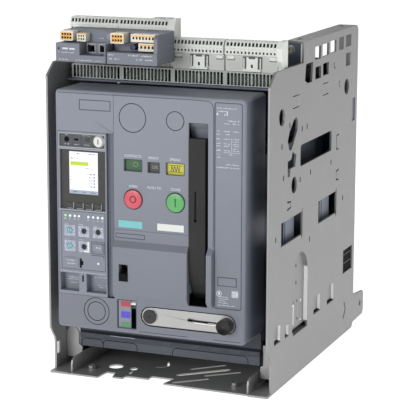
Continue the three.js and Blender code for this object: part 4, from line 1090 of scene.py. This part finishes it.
make(
    "module_print", "guide_frame", "white",
    (spun([(1.3, 0.1, 0), (1.3, -0.3, 0), (0.8, -0.45, 0), (0.2, -0.45, 0)], (-139.6, 0, 452.6), points=16),
     BLACK_AND_GAP_SHADE),
    (blocks([(-134, -126, -0.15, 0.1, 451.6, 453.8), (-124, -116, -0.15, 0.1, 451.4, 453.6)]), INK),
    (small_print(51, [(-140, -138, 447), (-135, -125, 446.8), (-123, -117, 446.6)], 1.6, 0, 1.2), INK),
    (small_print(53, [(-140, -126, 437.4), (-114, -90, 437.2), (-88, -75, 437)], 1.4, 0, 0.9), INK),
    (small_print(55, [(-67, -59, 446.4), (-66, -55, 441.2), (-53, -51, 441), (-38, -22, 446.6),
                      (-20, -4, 446.4), (-28, -18, 441.6), (-14, -3, 441.4)], 1.7, 0, 1.2), INK),
    (small_print(57, [(-80, -73, 470), (-80, -74, 467.4), (-79, -73, 464.8), (-92, -84, 465)],
                 1.2, WALL, 0.9), INK),
    (small_print(59, [(-62, -44, 456.6)], 1.3, WALL, 1.0), GREY_PRINT_AND_SHADE),
)

# ---- screws and fixings -------------------------------------------------------------------------
UPRIGHT = high("top_cross_rail")[1] - EDGE - 6
washer = [(6.4, 0.1, 0), (6.4, -0.5, 0), (5.0, -0.6, 0), (4.8, 0.05, 0)]
make(
    "cross_rail_screws", "guide_frame", "bright_steel",
    *((screw(x, UPRIGHT, 447, 5.2, 2.6), SCREW) for x in (-137, 137)),
    *((spun(washer, (x, UPRIGHT, 447), points=28), BRIGHT) for x in (-137, 137)),
    # painted light where the backdrop shows through the gap between the rail's upright and the side plate
    (blocks([(151.7, 154, UPRIGHT - 0.5, UPRIGHT + 0.2, 431, 456.5)]), GLINT),
)
bolt = [(6.0, 1.8, 0), (6.0, 3.4, 0), (5.4, 4.0, 0), (5.2, 4.2, 6), (5.4, 7.4, 6), (4.4, 8.2, 6),
        (2.6, 8.2, 6), (2.4, 5.6, 6)]
make(
    "tray_screws", "guide_frame", "bright_steel",
    *((spun(bolt, (x, 31, 0), "z", 24), BRIGHT) for x in (-110.5, 102.5)),
)


# ---- what shows in the side plates' windows -----------------------------------------------------
def both_sides(x, half, rows):
    """Thin blocks in pairs: row (y0, y1, z0, z1) stands about -x and about x, half a thickness each way."""
    return blocks([(side * x - half, side * x + half, *row) for side in (-1, 1) for row in rows])


wing = high("pole_housing")[0]
flange = high("rear_wall")[0]
make(
    "guide_pads", "breaker", "light_grey",
    (both_sides(wing + 0.15, 0.25, [(89, 132, 186, 230), (246, 289, 186, 230)]), PAD),
    # painted shade in the gaps beside the pads
    (both_sides(wing + 0.35, 0.25, [(93, 95, 186, 230), (252, 254, 186, 230)]), BLACK_AND_GAP_SHADE),
)
make(
    "rear_wire_duct", "guide_frame", "black",
    (loft([np.column_stack([np.full(12, float(x)), *inset(rounded(160, 292, 391, 421, 5, 2), draw).T])
           for x, draw in ((-150, 1.0), (-149, 0), (149, 0), (150, 1.0))]), BLACK_AND_GAP_SHADE),
)
make(
    "rear_flange_pads", "guide_frame", "dark_grey",
    # painted shade seen through the lower window
    (both_sides(flange + 0.7, 0.5, [(331.2, 375.8, 95.2, 129.8)]), BLACK_AND_GAP_SHADE),
    (both_sides(flange + 0.7, 0.5, [(362.2, 376.8, 320.2, 353.8)]), PAD),
    (both_sides(flange + 1.2, 0.4, [(338, 372, z, z + 1.2) for z in (108, 121)]), GREY_PRINT_AND_SHADE),
)

# ---- right side plate: painted highlights on the edges of its pressed strips, painted shade in its dish's holes ---
PLATE = high("side_plate_right")[0]
dish = [(129.5, 152.5), (112.3, 139.9), (130.5, 128.2), (113.4, 115.8)]
make(
    "plate_painted_strip_highlights", "guide_frame", "galvanised_steel",
    (blocks([(PLATE - 2.6, PLATE - 0.15, y - 0.75, y + 0.75, z0, z1)
             for y, z0, z1 in ((247, 377, 392), (117, 376, 391))]), GLINT),
    (blocks([(PLATE - 5.6, PLATE - 0.3, 162.9, 163.8, 67, 148)]), GLINT),
    (blocks([(PLATE - 3.8, PLATE - 0.3, y - 0.9, y - 0.1, z0 + 2, z1 - 1)
             for y, z0, z1 in ((50, 66, 90), (84, 65, 82), (222, 67, 92), (286, 66, 93))]), GLINT),
    (blocks([(PLATE - 6.2, PLATE - 5.8, y0, y1, z0, z1) for y0, y1, z0, z1 in
             ((118.8, 121.2, 70, 99), (112, 119, 97, 99.5), (149, 153, 97, 99.8), (149, 153, 69.5, 72.2))]),
     GLINT),
    # painted shade in the holes of the dish
    (blocks([(PLATE - 6.2, PLATE - 5.85, y - 1.3, y + 1.3, z - 2.4, z + 2.4) for y, z in dish]), BLACK_AND_GAP_SHADE),
)


# ---- plinth -------------------------------------------------------------------------------------
def arch(x0, x1):
    """The line of an arch from one foot to the other: its legs turn into a flat head."""
    leg = [(0, 31.4), (0, 37), (1.5, 40.6), (5, 42.2)]
    return np.array([(x0 + x, z) for x, z in leg] + [(x1 - x, z) for x, z in reversed(leg)])


make(
    "plinth_print_and_arch_shade", "breaker", "white",
    # painted shade along the outlines of the arches
    *((strokes(path(arch(x0, x1)), 0.9, PLINTH + 0.1, PLINTH - 0.15), BLACK_AND_GAP_SHADE)
      for x0, x1 in ((-131, -98), (-98, -46.5), (6.5, 117))),
    (blocks([(-88, -50, PLINTH - PRINT, PLINTH, 49.2, 49.6)]), INK),
    (small_print(61, [(-124, -92, 47.8), (-124, -98, 45.6), (-36, -22, 48), (-8, 4, 47.6), (-8, 4, 45),
                      (34, 46, 48.2), (34, 44, 45.8), (64, 76, 48), (64, 74, 45.6), (90, 110, 47.6),
                      (92, 106, 45.2), (118, 130, 46.6)], 1.2, PLINTH, 0.9), GREY_PRINT_AND_SHADE),
)


# ---- floor, light and camera --------------------------------------------------------------------
def paper():
    """Matt paper: nearly even, with a faint cloud of shade; its lift fades out in front of the breaker."""
    finish = Finish("backdrop_paper", {"Emission Strength": 0.8})
    cloud = finish.noise(700, 2)
    lift = finish.mix(finish.between(1, -1093.75, -468.75), grey(0.3), grey(1.0))
    return finish.feed(
        Emission_Color=lift,
        Base_Color=finish.mix(cloud, grey(0.90), grey(0.93)), Roughness=cloud * 0.1 + 0.8,
    )


floor_mesh = bpy.data.meshes.new("studio_floor")
floor_mesh.from_pydata([(-9, -5, 0), (9, -5, 0), (9, 16, 0), (-9, 16, 0)], [], [(0, 1, 2, 3)])
floor_mesh.materials.append(paper().material)
floor = add("studio_floor", floor_mesh)

world = bpy.data.worlds.new("studio")
world.use_nodes = True
background = world.node_tree.nodes["Background"]
background.inputs["Color"].default_value = grey(1.0)
background.inputs["Strength"].default_value = 0.3
bpy.context.scene.world = world


def softbox(name, place, aim, size, power):
    """A round area light at its place, turned to its aim: metres and watts."""
    light = bpy.data.lights.new(name, "AREA")
    light.shape = "DISK"
    light.size = size
    light.energy = power
    holder = add(name, light)
    holder.location = place
    holder.rotation_euler = (Vector(aim) - Vector(place)).to_track_quat("-Z", "Y").to_euler()


softbox("key_light", (-0.9, -2.9, 1.0), (0, 0, 0.22), 1.5, 40)
softbox("side_light", (2.7, -0.4, 0.9), (0, 0, 0.2), 1.4, 9)
softbox("back_light", (-1.4, 2.4, 1.2), (0, 0, 0.2), 1.6, 10)

# The camera stands at EYE and looks along FORWARD, with RIGHT and ABOVE as the axes of its view.
EYE = Vector((0.8911, -2.2743, 0.7151))
RIGHT = Vector((0.92912051, 0.3697703, 0.00223706))
ABOVE = Vector((-0.07652426, 0.18635642, 0.97949749))
FORWARD = Vector((-0.36177219, 0.91024239, -0.20144397))
camera_data = bpy.data.cameras.new("camera")
camera_data.lens = 153.02
camera_data.sensor_width = 36.0
camera_data.clip_end = 60.0
camera = add("camera", camera_data)
facing = Matrix((RIGHT, ABOVE, -FORWARD)).transposed().to_4x4()
camera.matrix_world = Matrix.Translation(EYE) @ facing
bpy.context.scene.camera = camera
bpy.context.scene.view_settings.view_transform = "Standard"
